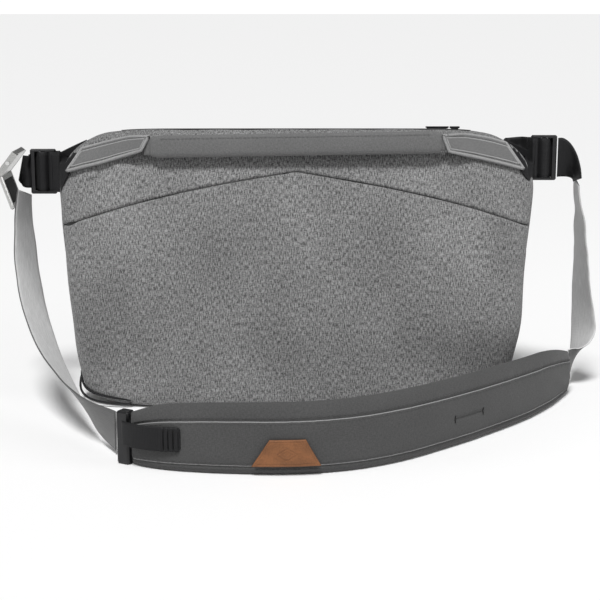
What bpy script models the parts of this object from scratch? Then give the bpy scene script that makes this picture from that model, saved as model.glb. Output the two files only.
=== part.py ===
"""A sling camera bag standing on its base, with its shoulder strap laid round its front.

Frame: metres, +X to the right of the front, +Y to the rear, +Z up, origin in the middle of the base.
The body is a loft of squarish sections. Every panel, foam and liner is a patch of that one surface, at its own
depth, addressed by p (once round: 0-1 front, 1-2 right, 2-3 rear, 3-4 left) and v (0 at the base, 10 at the rim).
"""

import math

import bmesh
import bpy
from mathutils import Matrix, Vector

# Body sections, from the base to the rim that the lid closes:
# height at the front, height at the rear, half width, front, rear, squareness, droop of the corners
SECTIONS = (
    (0.0004, 0.0004, 0.1780, -0.0660, 0.0660, 5.0, 0.000),
    (0.0040, 0.0040, 0.1910, -0.0725, 0.0725, 5.0, 0.000),
    (0.0120, 0.0120, 0.2020, -0.0770, 0.0765, 5.0, 0.000),
    (0.0350, 0.0350, 0.2065, -0.0795, 0.0785, 5.0, 0.000),
    (0.0800, 0.0800, 0.2125, -0.0795, 0.0785, 5.0, 0.000),
    (0.1300, 0.1280, 0.2165, -0.0740, 0.0745, 5.0, 0.000),
    (0.1780, 0.1720, 0.2210, -0.0640, 0.0685, 5.0, 0.000),
    (0.2120, 0.1990, 0.2225, -0.0530, 0.0625, 5.5, 0.002),
    (0.2355, 0.2160, 0.2165, -0.0400, 0.0575, 6.0, 0.005),
    (0.2495, 0.2255, 0.2085, -0.0240, 0.0535, 7.0, 0.009),
    (0.2555, 0.2290, 0.2000, -0.0080, 0.0500, 8.0, 0.012),
)
RIM_V = len(SECTIONS) - 1
LID_CROWN = 0.004

# Depths below the outer surface
SKIN = 0.0014
FOAM_DEPTH = 0.0030
FOAM = 0.0060
LINER_DEPTH = 0.0107
LINER = 0.0009
FOAM_GAP = 0.012

# Where the columns of the patches stand, as parts of one side of a section (-1 and 1 are its corners)
FRONT_COLUMNS = (-1.0, -0.92, -0.75, -0.5, -0.2, 0.2, 0.5, 0.75, 0.92, 1.0)
SIDE_COLUMNS = (-1.0, -0.8, -0.5, 0.0, 0.5, 0.8, 1.0)

# The V seam: its height in the middle, and how it falls towards the sides (first and third power of x)
SEAM_TOP = 0.2200
SEAM_FALL = (0.161, 1.55)

# Lid and zip
LID_HALF = 0.1650
ZIP_START = 0.0006
ZIP_TAPE = 0.0034
ZIP_COIL = 0.0015
ZIP_GAP = 0.0004
SLIDER_AT = 0.1500

# Shoulder strap hardware
WEBBING = 0.0360
WEBBING_THICK = 0.0016
BUCKLE_Y = -0.0100
BUCKLE_LEFT = (-0.2393, 0.2150)
BUCKLE_RIGHT = (0.2340, 0.2280)
BUCKLE_SIZE = (0.0245, 0.0044, 0.0425)
BUCKLE_BAR = 0.0042
LOOP_RADIUS = 0.0042

# Middle line of the strap webbing and the direction across it, from the bag outwards and down to the pad
STRAP_LEFT = (
    ((-0.2600, -0.002, 0.194), (-0.17, -0.96, 0.22)),
    ((-0.2600, -0.010, 0.166), (-0.30, -0.90, 0.32)),
    ((-0.2575, -0.021, 0.140), (-0.44, -0.81, 0.39)),
    ((-0.2525, -0.036, 0.116), (-0.51, -0.75, 0.42)),
    ((-0.2455, -0.055, 0.095), (-0.55, -0.70, 0.45)),
    ((-0.2360, -0.075, 0.077), (-0.56, -0.67, 0.49)),
    ((-0.2250, -0.097, 0.061), (-0.55, -0.63, 0.55)),
    ((-0.2120, -0.120, 0.048), (-0.51, -0.58, 0.63)),
    ((-0.1980, -0.144, 0.038), (-0.44, -0.52, 0.73)),
    ((-0.1840, -0.168, 0.030), (-0.34, -0.43, 0.84)),
    ((-0.1690, -0.191, 0.025), (-0.20, -0.28, 0.94)),
    ((-0.1500, -0.215, 0.022), (0.00, -0.07, 1.00)),
)
STRAP_RIGHT = (
    ((0.2680, 0.000, 0.204), (-0.08, -0.99, -0.06)),
    ((0.2710, 0.002, 0.184), (0.00, -0.99, -0.14)),
    ((0.2740, 0.006, 0.165), (0.09, -0.97, -0.20)),
    ((0.2770, 0.012, 0.146), (0.16, -0.96, -0.24)),
    ((0.2790, 0.017, 0.127), (0.21, -0.95, -0.24)),
    ((0.2810, 0.022, 0.108), (0.27, -0.94, -0.18)),
    ((0.2830, 0.026, 0.089), (0.36, -0.93, -0.08)),
    ((0.2850, 0.027, 0.070), (0.45, -0.89, 0.06)),
    ((0.2855, 0.025, 0.052), (0.50, -0.83, 0.24)),
    ((0.2820, 0.018, 0.037), (0.38, -0.78, 0.50)),
    ((0.2745, 0.009, 0.027), (0.14, -0.54, 0.83)),
    ((0.2685, 0.002, 0.023), (0.00, -0.20, 0.98)),
)
# Plan of the pad's middle line, left to right, with its half height at each point
PAD_ROUTE = (
    ((-0.1330, -0.2350), 0.0225),
    ((-0.1100, -0.2470), 0.0270),
    ((-0.0780, -0.2550), 0.0290),
    ((-0.0370, -0.2595), 0.0298),
    ((0.0040, -0.2590), 0.0300),
    ((0.0440, -0.2500), 0.0303),
    ((0.0820, -0.2300), 0.0305),
    ((0.1180, -0.2010), 0.0303),
    ((0.1530, -0.1680), 0.0300),
    ((0.1830, -0.1370), 0.0298),
    ((0.2080, -0.1080), 0.0292),
    ((0.2290, -0.0780), 0.0280),
    ((0.2480, -0.0440), 0.0245),
    ((0.2630, -0.0130), 0.0200),
)
PAD_HALF_THICK = 0.0050
PAD_SKIN = 0.0012

# Grab handle: the grip rises a little to the right
GRIP_Z = 0.2445
GRIP_SLOPE = 0.016
GRIP_Y = -0.0515
GRIP_PIVOT_Y = -0.0380
GRIP_HALF = 0.1330
GRIP_SIZE = (0.0090, 0.0200)

# Dividers inside
DIVIDER_X = 0.0620
DIVIDER_THICK = 0.0060
DIVIDER_TOP = 0.1620


def clear_scene():
    for obj in list(bpy.data.objects):
        bpy.data.objects.remove(obj)


def new_collection(name):
    collection = bpy.data.collections.new(name)
    bpy.context.scene.collection.children.link(collection)
    return collection


clear_scene()
PARTS = new_collection("camera_bag")
CUTTERS = new_collection("cutters")


def material(name, colour, roughness, metallic=0.0):
    made = bpy.data.materials.new(name)
    made.use_nodes = True
    shader = made.node_tree.nodes["Principled BSDF"]
    shader.inputs["Base Color"].default_value = (*colour, 1.0)
    shader.inputs["Roughness"].default_value = roughness
    shader.inputs["Metallic"].default_value = metallic
    return made


HEATHER = ((0.17, 0.17, 0.17), 0.90)
SMOOTH_GREY = ((0.10, 0.10, 0.10), 0.80)
STRAP_GREY = ((0.48, 0.48, 0.48), 0.75)
BLACK_PLASTIC = ((0.012, 0.012, 0.012), 0.40)
BLACK_WEBBING = ((0.016, 0.016, 0.016), 0.80)
FOAM_GREY = ((0.28, 0.28, 0.28), 0.95)
LINER_GREY = ((0.40, 0.40, 0.41), 0.85)
LEATHER = ((0.33, 0.13, 0.045), 0.60)
METAL = ((0.62, 0.62, 0.60), 0.35, 1.0)
BOARD = ((0.03, 0.03, 0.03), 0.60)


def finish(obj, look, parent=None, smooth=True):
    """Gives the object its own material, a place in the collection and, on a moving piece, a parent."""
    obj.data.materials.clear()
    obj.data.materials.append(material(obj.name, *look))
    for collection in list(obj.users_collection):
        collection.objects.unlink(obj)
    PARTS.objects.link(obj)
    if smooth and obj.type == "MESH":
        obj.data.shade_smooth()
        obj.data.set_sharp_from_angle(angle=math.radians(35))
    if parent:
        obj.parent = parent
        obj.matrix_parent_inverse = parent.matrix_world.inverted()
    return obj


def pivot(name, place, axis):
    """An empty on a joint's axis: its own Z runs along the axis."""
    empty = bpy.data.objects.new(name, None)
    turn = Vector((0, 0, 1)).rotation_difference(Vector(axis)).to_matrix().to_4x4()
    empty.matrix_world = Matrix.Translation(place) @ turn
    PARTS.objects.link(empty)
    bpy.context.view_layer.update()
    return empty


def sheet(name, rows, thickness, look, parent=None, offset=-1.0, closed=False):
    """A shell: a grid of points, row by row, thickened by Solidify against its outward side."""
    mesh = bpy.data.meshes.new(name)
    width = len(rows[0])
    faces = []
    for r in range(len(rows) - 1):
        for c in range(width if closed else width - 1):
            d = (c + 1) % width
            faces.append((r * width + c, r * width + d, (r + 1) * width + d, (r + 1) * width + c))
    mesh.from_pydata([tuple(point) for row in rows for point in row], [], faces)
    obj = bpy.data.objects.new(name, mesh)
    thicken = obj.modifiers.new("thickness", "SOLIDIFY")
    thicken.thickness = thickness
    thicken.offset = offset
    thicken.use_even_offset = True
    return finish(obj, look, parent)


def block(name, size, centre, look, bevel=0.0, turn=None, parent=None, segments=1):
    """A bevelled box, turned about its centre by the rotation matrix given."""
    bpy.ops.mesh.primitive_cube_add(size=1.0)
    obj = bpy.context.object
    obj.name = name
    place = Matrix.Translation(centre)
    if turn:
        place = place @ turn.to_4x4()
    obj.data.transform(place @ Matrix.Diagonal((*size, 1.0)))
    if bevel:
        rounding = obj.modifiers.new("edges", "BEVEL")
        rounding.width = bevel
        rounding.segments = segments
    return finish(obj, look, parent)


def rod(name, radius, start, end, look, parent=None, sides=16):
    """A round pin from start to end."""
    start, end = Vector(start), Vector(end)
    mesh = bpy.data.meshes.new(name)
    shape = bmesh.new()
    bmesh.ops.create_cone(
        shape, cap_ends=True, segments=sides, radius1=radius, radius2=radius, depth=(end - start).length
    )
    shape.to_mesh(mesh)
    shape.free()
    turn = Vector((0, 0, 1)).rotation_difference(end - start).to_matrix().to_4x4()
    mesh.transform(Matrix.Translation((start + end) / 2) @ turn)
    return finish(bpy.data.objects.new(name, mesh), look, parent)


def cut(obj, cutter):
    """Cuts the cutter out of the object, and keeps it as a hidden wire."""
    modifier = obj.modifiers.new("cut", "BOOLEAN")
    modifier.operation = "DIFFERENCE"
    modifier.object = cutter
    hide(cutter)


def join(obj, other):
    modifier = obj.modifiers.new("join", "BOOLEAN")
    modifier.operation = "UNION"
    modifier.object = other
    hide(other)


def hide(cutter):
    cutter.hide_render = True
    cutter.display_type = "WIRE"
    for collection in list(cutter.users_collection):
        collection.objects.unlink(cutter)
    CUTTERS.objects.link(cutter)


# ---- the body's surface ----


def smooth_row(rows, v):
    """One row of numbers between the listed ones, on a Catmull-Rom curve."""
    v = min(max(v, 0.0), len(rows) - 1.0)
    i = min(int(v), len(rows) - 2)
    t = v - i
    a, b, c, d = (rows[min(max(k, 0), len(rows) - 1)] for k in (i - 1, i, i + 1, i + 2))
    mixed = []
    for w, x, y, z in zip(a, b, c, d):
        mixed.append(
            x + 0.5 * t * (y - w + t * (2 * w - 5 * x + 4 * y - z + t * (3 * (x - y) + z - w)))
        )
    return mixed


def place_on(section, across, along):
    """A point of one section: across is -1 to 1 in x, along is -1 (front) to 1 (rear)."""
    z_front, z_rear, half_width, front, rear, _, droop = section
    x = half_width * across
    y = (front + rear) / 2 + (rear - front) / 2 * along
    z = (z_front + z_rear) / 2 + (z_rear - z_front) / 2 * along - droop * abs(across) ** 12
    return Vector((x, y, z))


def outer(p, v):
    section = smooth_row(SECTIONS, v)
    power = section[5]
    side = int(math.floor(p)) % 4
    corner = 0.5 ** (1 / power)
    run = corner * (2 * (p - math.floor(p)) - 1)
    reach = (1 - abs(run) ** power) ** (1 / power)
    across, along = ((run, -reach), (reach, run), (-run, reach), (-reach, -run))[side]
    return place_on(section, across, along)


def skin(p, v, depth=0.0):
    """A point of the body's surface, moved inwards by depth along the surface's normal."""
    here = outer(p, v)
    if not depth:
        return here
    low, high = max(v - 0.05, 0.0), min(v + 0.05, RIM_V)
    normal = (outer(p + 0.01, v) - outer(p - 0.01, v)).cross(outer(p, high) - outer(p, low))
    return here - normal.normalized() * depth


def columns(first, last, gap=0.004):
    """The shared columns between two places round the body, with a small gap at each end."""
    found = [first + gap]
    for side in range(math.floor(first) - 1, math.ceil(last) + 1):
        marks = FRONT_COLUMNS if side % 2 == 0 else SIDE_COLUMNS
        found += [side + (mark + 1) / 2 for mark in marks[:-1]]
    found = [p for p in found if first + gap <= p < last - gap - 1e-6]
    return sorted(set(found)) + [last - gap]


def height_v(p, z):
    """The v at which the surface passes a height."""
    low, high = 0.0, float(RIM_V)
    for _ in range(40):
        middle = (low + high) / 2
        if outer(p, middle).z < z:
            low = middle
        else:
            high = middle
    return (low + high) / 2


def seam_v(p):
    x = abs(outer(p, 6.5).x)
    return height_v(p, SEAM_TOP - SEAM_FALL[0] * x - SEAM_FALL[1] * x**3)


def patch(name, places, levels, depth, thickness, look):
    """A shell over the given columns. levels is a list of v, or a function of p that gives one."""
    by_column = []
    for p in places:
        heights = levels(p) if callable(levels) else levels
        by_column.append([skin(p, v, depth) for v in heights])
    return sheet(name, list(zip(*by_column)), thickness, look)


def below_seam(p):
    top = seam_v(p) - 0.008
    return [0, 1, 2, 3, 4, 5, (5 + top) / 2, top]


def above_seam(p):
    low = seam_v(p) + 0.008
    return [low + (RIM_V - low) * part for part in (0, 0.25, 0.5, 0.75, 1)]


def outer_panels():
    every = list(range(RIM_V + 1))
    patch("front_panel", columns(-0.25, 1.25), below_seam, 0, SKIN, HEATHER)
    patch("front_yoke", columns(-0.25, 1.25), above_seam, 0, SKIN, HEATHER)
    patch("side_panel_right", columns(1.25, 1.75), every, 0, SKIN, HEATHER)
    patch("rear_panel", columns(1.75, 3.25), every, 0, SKIN, HEATHER)
    patch("side_panel_left", columns(3.25, 3.75), every, 0, SKIN, HEATHER)


def padding():
    levels = [2.2, 3, 4, 5, 6, 7, 8, 8.6]
    front_levels = levels[:-1] + [8.7, 9.3]
    patch("foam_front", columns(-0.25, 1.25, FOAM_GAP), front_levels, FOAM_DEPTH, FOAM, FOAM_GREY)
    patch("foam_side_right", columns(1.25, 1.75, FOAM_GAP), levels, FOAM_DEPTH, FOAM, FOAM_GREY)
    patch("foam_rear", columns(1.75, 3.25, FOAM_GAP), levels, FOAM_DEPTH, FOAM, FOAM_GREY)
    patch("foam_side_left", columns(3.25, 3.75, FOAM_GAP), levels, FOAM_DEPTH, FOAM, FOAM_GREY)


def plate(name, half_width, half_depth, bottom, top, look):
    """A flat squarish plate."""
    rim = []
    for p in columns(0, 4, 0.0)[:-1]:
        at = outer(p, 3)
        rim.append((at.x / SECTIONS[3][2] * half_width, at.y / SECTIONS[3][4] * half_depth, top))
    mesh = bpy.data.meshes.new(name)
    mesh.from_pydata(rim, [], [tuple(range(len(rim)))])
    obj = bpy.data.objects.new(name, mesh)
    thicken = obj.modifiers.new("thickness", "SOLIDIFY")
    thicken.thickness = top - bottom
    thicken.offset = -1.0
    return finish(obj, look)


def liner_tub():
    """A thin tub: a flat floor and walls up to under the lid."""
    around = columns(0, 4, 0.0)[:-1]
    rows = []
    floor_z = 0.0130
    edge = [skin(p, 2.2, LINER_DEPTH + 0.002) for p in around]
    for part in (0.05, 0.6):
        rows.append([Vector((at.x * part, at.y * part, floor_z)) for at in edge])
    rows.append([Vector((at.x, at.y, floor_z)) for at in edge])
    for v in (2.6, 3, 4, 5, 6, 7, 8, 8.4):
        rows.append([skin(p, v, LINER_DEPTH) for p in around])
    obj = sheet("liner_tub", rows, LINER, LINER_GREY, closed=True)
    shape = bmesh.new()
    shape.from_mesh(obj.data)
    shape.verts.ensure_lookup_table()
    shape.faces.new([shape.verts[i] for i in reversed(range(len(around)))])
    shape.to_mesh(obj.data)
    shape.free()


# ---- lid and zip ----


def top_point(x, y):
    """The closed top between the rim's front and rear: a plane that falls to the rear, a little crowned."""
    section = SECTIONS[RIM_V]
    _, _, half_width, front, rear, _, _ = section
    along = (y - (front + rear) / 2) / ((rear - front) / 2)
    rise = LID_CROWN * max(0.0, 1 - along**2) * (1 - (x / half_width) ** 2)
    return place_on(section, x / half_width, along) + Vector((0, 0, rise))


def rim_y(x, side):
    """Where the rim runs at x: side -1 is the front, 1 the rear."""
    _, _, half_width, front, rear, power, _ = SECTIONS[RIM_V]
    return (front + rear) / 2 + side * (rear - front) / 2 * (1 - abs(x / half_width) ** power) ** (1 / power)


ZIP_STATIONS = [LID_HALF * part for part in (-1, -0.9, -0.75, -0.5, 0, 0.5, 0.75, 0.9, 1)]


def zip_lines():
    """Distances behind the rim's front edge at which each strip of the zip starts and ends."""
    tape = (ZIP_START, ZIP_START + ZIP_TAPE)
    coil = (tape[1] + 0.0002, tape[1] + 0.0002 + ZIP_COIL)
    coil_lid = (coil[1] + ZIP_GAP, coil[1] + ZIP_GAP + ZIP_COIL)
    tape_lid = (coil_lid[1] + 0.0002, coil_lid[1] + 0.0002 + ZIP_TAPE)
    return tape, coil, coil_lid, tape_lid


def strip_on_top(name, lines, thickness, look, parent=None, lift=0.0):
    rows = []
    for line in lines:
        rows.append([top_point(x, rim_y(x, -1) + line) + Vector((0, 0, lift)) for x in ZIP_STATIONS])
    return sheet(name, rows, thickness, look, parent)


def lid_and_zip():
    hinge = pivot("lid_hinge_axis", (0, 0.0478, 0.2296), (-1, 0, 0))
    tape, coil, coil_lid, tape_lid = zip_lines()
    strip_on_top("zip_tape_front", tape, 0.0008, BLACK_WEBBING)
    strip_on_top("zip_coil_front", coil, 0.0016, BLACK_PLASTIC, lift=0.0004)
    strip_on_top("zip_coil_lid", coil_lid, 0.0016, BLACK_PLASTIC, hinge, lift=0.0004)
    strip_on_top("zip_tape_lid", tape_lid, 0.0008, BLACK_WEBBING, hinge)

    def lid_rows(start, end, depth, half):
        rows = []
        for part in (0, 0.3, 0.65, 1):
            row = []
            for station in (-1, -0.75, -0.4, 0, 0.4, 0.75, 1):
                x = half * station
                first, last = rim_y(x, -1) + start, rim_y(x, 1) - end
                row.append(top_point(x, first + (last - first) * part) - Vector((0, 0, depth)))
            rows.append(row)
        return rows

    start = tape_lid[1] + 0.0003
    sheet("lid_panel", lid_rows(start, 0.0022, 0, LID_HALF), SKIN, HEATHER, hinge)
    sheet("lid_foam", lid_rows(start + 0.002, 0.006, 0.0020, LID_HALF - 0.004), 0.003, FOAM_GREY, hinge)
    sheet("lid_liner", lid_rows(start + 0.002, 0.006, 0.0056, LID_HALF - 0.004), 0.0008, LINER_GREY, hinge)

    # The soft gussets that close the ends of the top beside the lid
    for name, side in (("gusset_left", -1), ("gusset_right", 1)):
        rows = []
        for part in (0.04, 0.35, 0.65, 0.96):
            row = []
            for x in (LID_HALF + 0.0006, 0.176, 0.186, 0.193):
                first, last = rim_y(x, -1) + 0.0018, rim_y(x, 1) - 0.0018
                row.append(top_point(side * x, first + (last - first) * part))
            rows.append(row if side > 0 else row[::-1])
        sheet(name, rows, SKIN, HEATHER)

    # Zip slider on the fixed half of the zip, and its pull
    at = top_point(SLIDER_AT, rim_y(SLIDER_AT, -1) + coil[0] + 0.0002)
    body = at + Vector((0, -0.0005, 0.0026))
    block("main_slider", (0.0095, 0.0024, 0.0018), body, BLACK_PLASTIC, 0.0004)
    pin = body + Vector((-0.0060, 0, 0.0002))
    hinge = pivot("main_pull_axis", pin, (0, 1, 0))
    block("main_pull", (0.0220, 0.0022, 0.0014), pin + Vector((-0.0105, 0, 0)), BLACK_PLASTIC, 0.0004, None, hinge)


def zip_garages():
    """Black fabric ends of the zip, at the top corners of the bag."""
    lower = ((0.2235, 0.2275), (0.2150, 0.2300), (0.2110, 0.2340))
    upper = ((0.2240, 0.2300), (0.2165, 0.2345), (0.2105, 0.2372))
    for name, side in (("zip_garage_left", -1), ("zip_garage_right", 1)):
        rows = [[(side * x, -0.0040, z) for x, z in line] for line in (lower, upper)]
        sheet(name, rows if side > 0 else [row[::-1] for row in rows], 0.0012, BLACK_WEBBING)


# ---- handle ----


def front_at(x, v):
    """The point of the body's front at x, on the section v."""
    section = smooth_row(SECTIONS, v)
    across = max(-0.9999, min(0.9999, x / section[2]))
    return place_on(section, across, -((1 - abs(across) ** section[5]) ** (1 / section[5])))


def front_point(x, z, lift=0.0):
    """A point on the front of the body at x and z, moved outwards by lift."""
    low, high = 0.0, float(RIM_V)
    for _ in range(40):
        middle = (low + high) / 2
        if front_at(x, middle).z < z:
            low = middle
        else:
            high = middle
    slope = front_at(x, min(low + 0.05, RIM_V)) - front_at(x, max(low - 0.05, 0))
    beside = front_at(x + 0.002, low) - front_at(x - 0.002, low)
    return front_at(x, low) + beside.cross(slope).normalized() * lift


def handle_patches():
    """Stitched patches that hold the handle: (x, z) corners of the lower and the upper edge."""
    edges = {
        "handle_patch_left": (
            ((-0.2110, 0.2165), (-0.1960, 0.2210), (-0.1815, 0.2245), (-0.1610, 0.2305), (-0.1414, 0.2365)),
            ((-0.1975, 0.2365), (-0.1830, 0.2405), (-0.1680, 0.2440), (-0.1510, 0.2472), (-0.1340, 0.2490)),
        ),
        "handle_patch_right": (
            ((0.1400, 0.2355), (0.1600, 0.2310), (0.1800, 0.2265), (0.1960, 0.2225), (0.2095, 0.2185)),
            ((0.1335, 0.2500), (0.1510, 0.2490), (0.1660, 0.2475), (0.1800, 0.2450), (0.1940, 0.2410)),
        ),
    }
    for name, (lower, upper) in edges.items():
        rows = []
        for part in (0, 0.33, 0.67, 1):
            row = []
            for (x0, z0), (x1, z1) in zip(lower, upper):
                row.append(front_point(x0 + (x1 - x0) * part, z0 + (z1 - z0) * part, 0.0046))
            rows.append(row)
        sheet(name, rows, 0.0016, SMOOTH_GREY)


def grip_z(x):
    return GRIP_Z + GRIP_SLOPE * x


def tube(name, stations, depth, height, look, parent, open_ends):
    """A flattened tube along X. Each station is (x, y), and its height follows the grip's slope."""
    ring = []
    for k in range(12):
        angle = math.tau * k / 12
        c, s = math.cos(angle), math.sin(angle)
        ring.append((math.copysign(abs(c) ** 0.6, c) * depth / 2, math.copysign(abs(s) ** 0.6, s) * height / 2))
    rows = []
    for x, y in stations:
        rows.append([Vector((x, y + across, grip_z(x) + up)) for across, up in ring])
    if open_ends:
        return sheet(name, rows, 0.0014, look, parent, offset=-1.0, closed=True)
    mesh = bpy.data.meshes.new(name)
    faces = []
    for r in range(len(rows) - 1):
        for c in range(12):
            d = (c + 1) % 12
            faces.append((r * 12 + c, r * 12 + d, (r + 1) * 12 + d, (r + 1) * 12 + c))
    faces.append(tuple(reversed(range(12))))
    faces.append(tuple((len(rows) - 1) * 12 + k for k in range(12)))
    mesh.from_pydata([tuple(point) for row in rows for point in row], [], faces)
    return finish(bpy.data.objects.new(name, mesh), look, parent)


def grab_handle():
    hinge = pivot("handle_axis", (0, GRIP_PIVOT_Y, GRIP_Z), (-1, 0, -GRIP_SLOPE))
    cover = [(GRIP_HALF * part, GRIP_Y) for part in (-1, -0.5, 0, 0.5, 1)]
    tube("handle_cover", cover, GRIP_SIZE[0], GRIP_SIZE[1], SMOOTH_GREY, hinge, True)
    end = 0.1450
    core = [(-end, GRIP_Y + 0.0035), (-GRIP_HALF - 0.003, GRIP_Y + 0.0005)]
    core += [(GRIP_HALF * part, GRIP_Y) for part in (-0.9, 0, 0.9)]
    core += [(GRIP_HALF + 0.003, GRIP_Y + 0.0005), (end, GRIP_Y + 0.0035)]
    tube("handle_core", core, 0.0042, 0.0150, BLACK_WEBBING, hinge, False)


# ---- strap hardware ----


def ribbon(name, stations, width, thickness, look, parent=None):
    """Flat webbing: each station is its middle and the direction across it."""
    rows = []
    for side in (-1, 1):
        row = []
        for centre, across in stations:
            row.append(Vector(centre) + Vector(across).normalized() * side * width / 2)
        rows.append(row)
    return sheet(name, rows, thickness, look, parent, offset=0.0)


def buckle(name, centre):
    """A ladder buckle: a bevelled plate with two slots, one on each side of its middle bar."""
    x, z = centre
    obj = block(name, BUCKLE_SIZE, (x, BUCKLE_Y, z), BLACK_PLASTIC, 0.0012)
    slot = (BUCKLE_SIZE[0] - 3 * BUCKLE_BAR) / 2
    for side in (-1, 1):
        middle = x + side * (slot + BUCKLE_BAR) / 2
        size = (slot, 0.02, WEBBING + 0.0016)
        cut(obj, block(f"{name}_slot_{side + 1}", size, (middle, BUCKLE_Y, z), BLACK_PLASTIC))
    return obj


def loop_round(bar_x, away, z):
    """The path in plan of webbing that goes round an upright bar and comes back, from the side given."""
    path = []
    for k in range(7):
        angle = math.pi * k / 6
        across = away * LOOP_RADIUS * math.sin(angle)
        path.append((bar_x - across, BUCKLE_Y - LOOP_RADIUS * math.cos(angle)))
    return [((x, y, z), (0, 0, 1)) for x, y in path]


def bag_tabs():
    """Black webbing sewn to the bag's corner under the handle patch, looped round the buckle's inner bar."""
    for name, (buckle_x, z), side in (
        ("tab_webbing_left", BUCKLE_LEFT, -1),
        ("tab_webbing_right", BUCKLE_RIGHT, 1),
    ):
        bar_x = buckle_x - side * (BUCKLE_SIZE[0] - BUCKLE_BAR) / 2
        low = z - WEBBING / 2 - 0.002
        path = []
        for x in (0.2060, 0.2130, 0.2180):
            at = front_point(side * x, low, 0.0022)
            path.append(((at.x, at.y, z), (0, 0, 1)))
        path.append(((side * 0.2238, -0.0200, z), (0, 0, 1)))
        path += loop_round(bar_x, -side, z)
        if side > 0:
            path = path[::-1]
        ribbon(name, path, WEBBING, WEBBING_THICK, BLACK_WEBBING)


def strap_links(strap):
    """Short black webbing beyond each buckle, where the strap starts."""
    z = BUCKLE_LEFT[1]
    left = [
        ((-0.2535, BUCKLE_Y, z), (0, -0.10, 1)),
        ((-0.2570, BUCKLE_Y + 0.001, z + 0.001), (0, -0.25, 0.97)),
        ((-0.2605, BUCKLE_Y + 0.002, z + 0.002), (0, -0.40, 0.92)),
    ]
    ribbon("link_webbing_left", left, 0.0300, WEBBING_THICK, BLACK_WEBBING, strap)
    z = BUCKLE_RIGHT[1]
    right = [
        ((0.2480, BUCKLE_Y, z), (0, 0, 1)),
        ((0.2540, BUCKLE_Y + 0.0005, z - 0.0005), (0.02, -0.05, 1)),
        ((0.2600, BUCKLE_Y + 0.0025, z - 0.0045), (0.10, -0.35, 0.93)),
        ((0.2645, BUCKLE_Y + 0.0060, z - 0.0115), (0.10, -0.75, 0.62)),
    ]
    ribbon("link_webbing_right", right, 0.0330, WEBBING_THICK, BLACK_WEBBING, strap)


def adjuster(strap):
    """Quick adjuster: a ring and two cheeks in one piece, a lever plate between the cheeks, and its pin."""
    pin = Vector((-0.2700, -0.004, 0.2245))
    slant = Matrix.Rotation(math.radians(38), 3, "Y")
    ring_turn = Matrix.Rotation(math.radians(-19), 3, "Y")
    ring_at = Vector((-0.2722, -0.004, 0.1965))
    frame = block("adjuster_frame", (0.0036, 0.0460, 0.0330), ring_at, METAL, 0.0010, ring_turn, strap)
    hole = block("adjuster_hole", (0.02, 0.0376, 0.0230), ring_at, METAL, 0.0, ring_turn)
    cut(frame, hole)
    for side in (-1, 1):
        cheek = block(
            f"cheek_{side + 1}", (0.0060, 0.0026, 0.0260), pin + Vector((-0.0010, side * 0.0205, -0.0012)),
            METAL, 0.0, slant,
        )
        join(frame, cheek)
    bore = rod("adjuster_bore", 0.00215, pin - Vector((0, 0.03, 0)), pin + Vector((0, 0.03, 0)), METAL)
    cut(frame, bore)
    pin_start, pin_end = pin - Vector((0, 0.0226, 0)), pin + Vector((0, 0.0226, 0))
    rod("adjuster_pin", 0.0020, pin_start, pin_end, METAL, strap)
    hinge = pivot("lever_axis", pin, (0, -1, 0))
    hinge.parent = strap
    hinge.matrix_parent_inverse = strap.matrix_world.inverted()
    bpy.context.view_layer.update()
    lever = block("adjuster_lever", (0.0056, 0.0376, 0.0250), pin, METAL, 0.0008, slant, hinge)
    bore = rod("lever_bore", 0.00215, pin - Vector((0, 0.03, 0)), pin + Vector((0, 0.03, 0)), METAL)
    cut(lever, bore)


def strap_webbing(strap):
    ribbon("strap_webbing_left", STRAP_LEFT, WEBBING, WEBBING_THICK, STRAP_GREY, strap)
    ribbon("strap_webbing_right", STRAP_RIGHT, WEBBING, WEBBING_THICK, STRAP_GREY, strap)


def pad_frame(position):
    """The pad's middle, its outward direction and half height at a place along it (0 to 13)."""
    flat = [(*place, half) for place, half in PAD_ROUTE]
    x, y, half = smooth_row(flat, position)
    x0, y0, _ = smooth_row(flat, position - 0.1)
    x1, y1, _ = smooth_row(flat, position + 0.1)
    out = Vector((y1 - y0, -(x1 - x0), 0)).normalized()
    return Vector((x, y, half + 0.0002)), out, half


def strap_pad(strap):
    """Curved shoulder pad: a foam core with a cover on its outer and on its inner side."""
    stations = range(len(PAD_ROUTE))
    ring = []
    for k in range(10):
        angle = math.tau * k / 10
        c, s = math.cos(angle), math.sin(angle)
        ring.append((math.copysign(abs(c) ** 0.7, c) * PAD_HALF_THICK, math.copysign(abs(s) ** 0.8, s)))
    rows = []
    for station in stations:
        middle, out, half = pad_frame(station)
        rows.append([middle + out * across + Vector((0, 0, up * half)) for across, up in ring])
    mesh = bpy.data.meshes.new("pad_foam")
    count = len(ring)
    faces = []
    for r in range(len(rows) - 1):
        for c in range(count):
            d = (c + 1) % count
            faces.append((r * count + c, (r + 1) * count + c, (r + 1) * count + d, r * count + d))
    faces.append(tuple(range(count)))
    faces.append(tuple((len(rows) - 1) * count + k for k in reversed(range(count))))
    mesh.from_pydata([tuple(point) for row in rows for point in row], [], faces)
    finish(bpy.data.objects.new("pad_foam", mesh), FOAM_GREY, strap)

    for name, side in (("pad_front_cover", 1), ("pad_back_cover", -1)):
        rows = []
        for up in (-0.90, -0.58, 0, 0.58, 0.90):
            row = []
            for station in stations:
                middle, out, half = pad_frame(station)
                reach = PAD_HALF_THICK * (1 - abs(up) ** 3 * 0.55) + PAD_SKIN + 0.0009
                row.append(middle + out * side * reach + Vector((0, 0, up * half)))
            rows.append(row if side > 0 else row[::-1])
        sheet(name, rows, PAD_SKIN, SMOOTH_GREY, strap)


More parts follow.
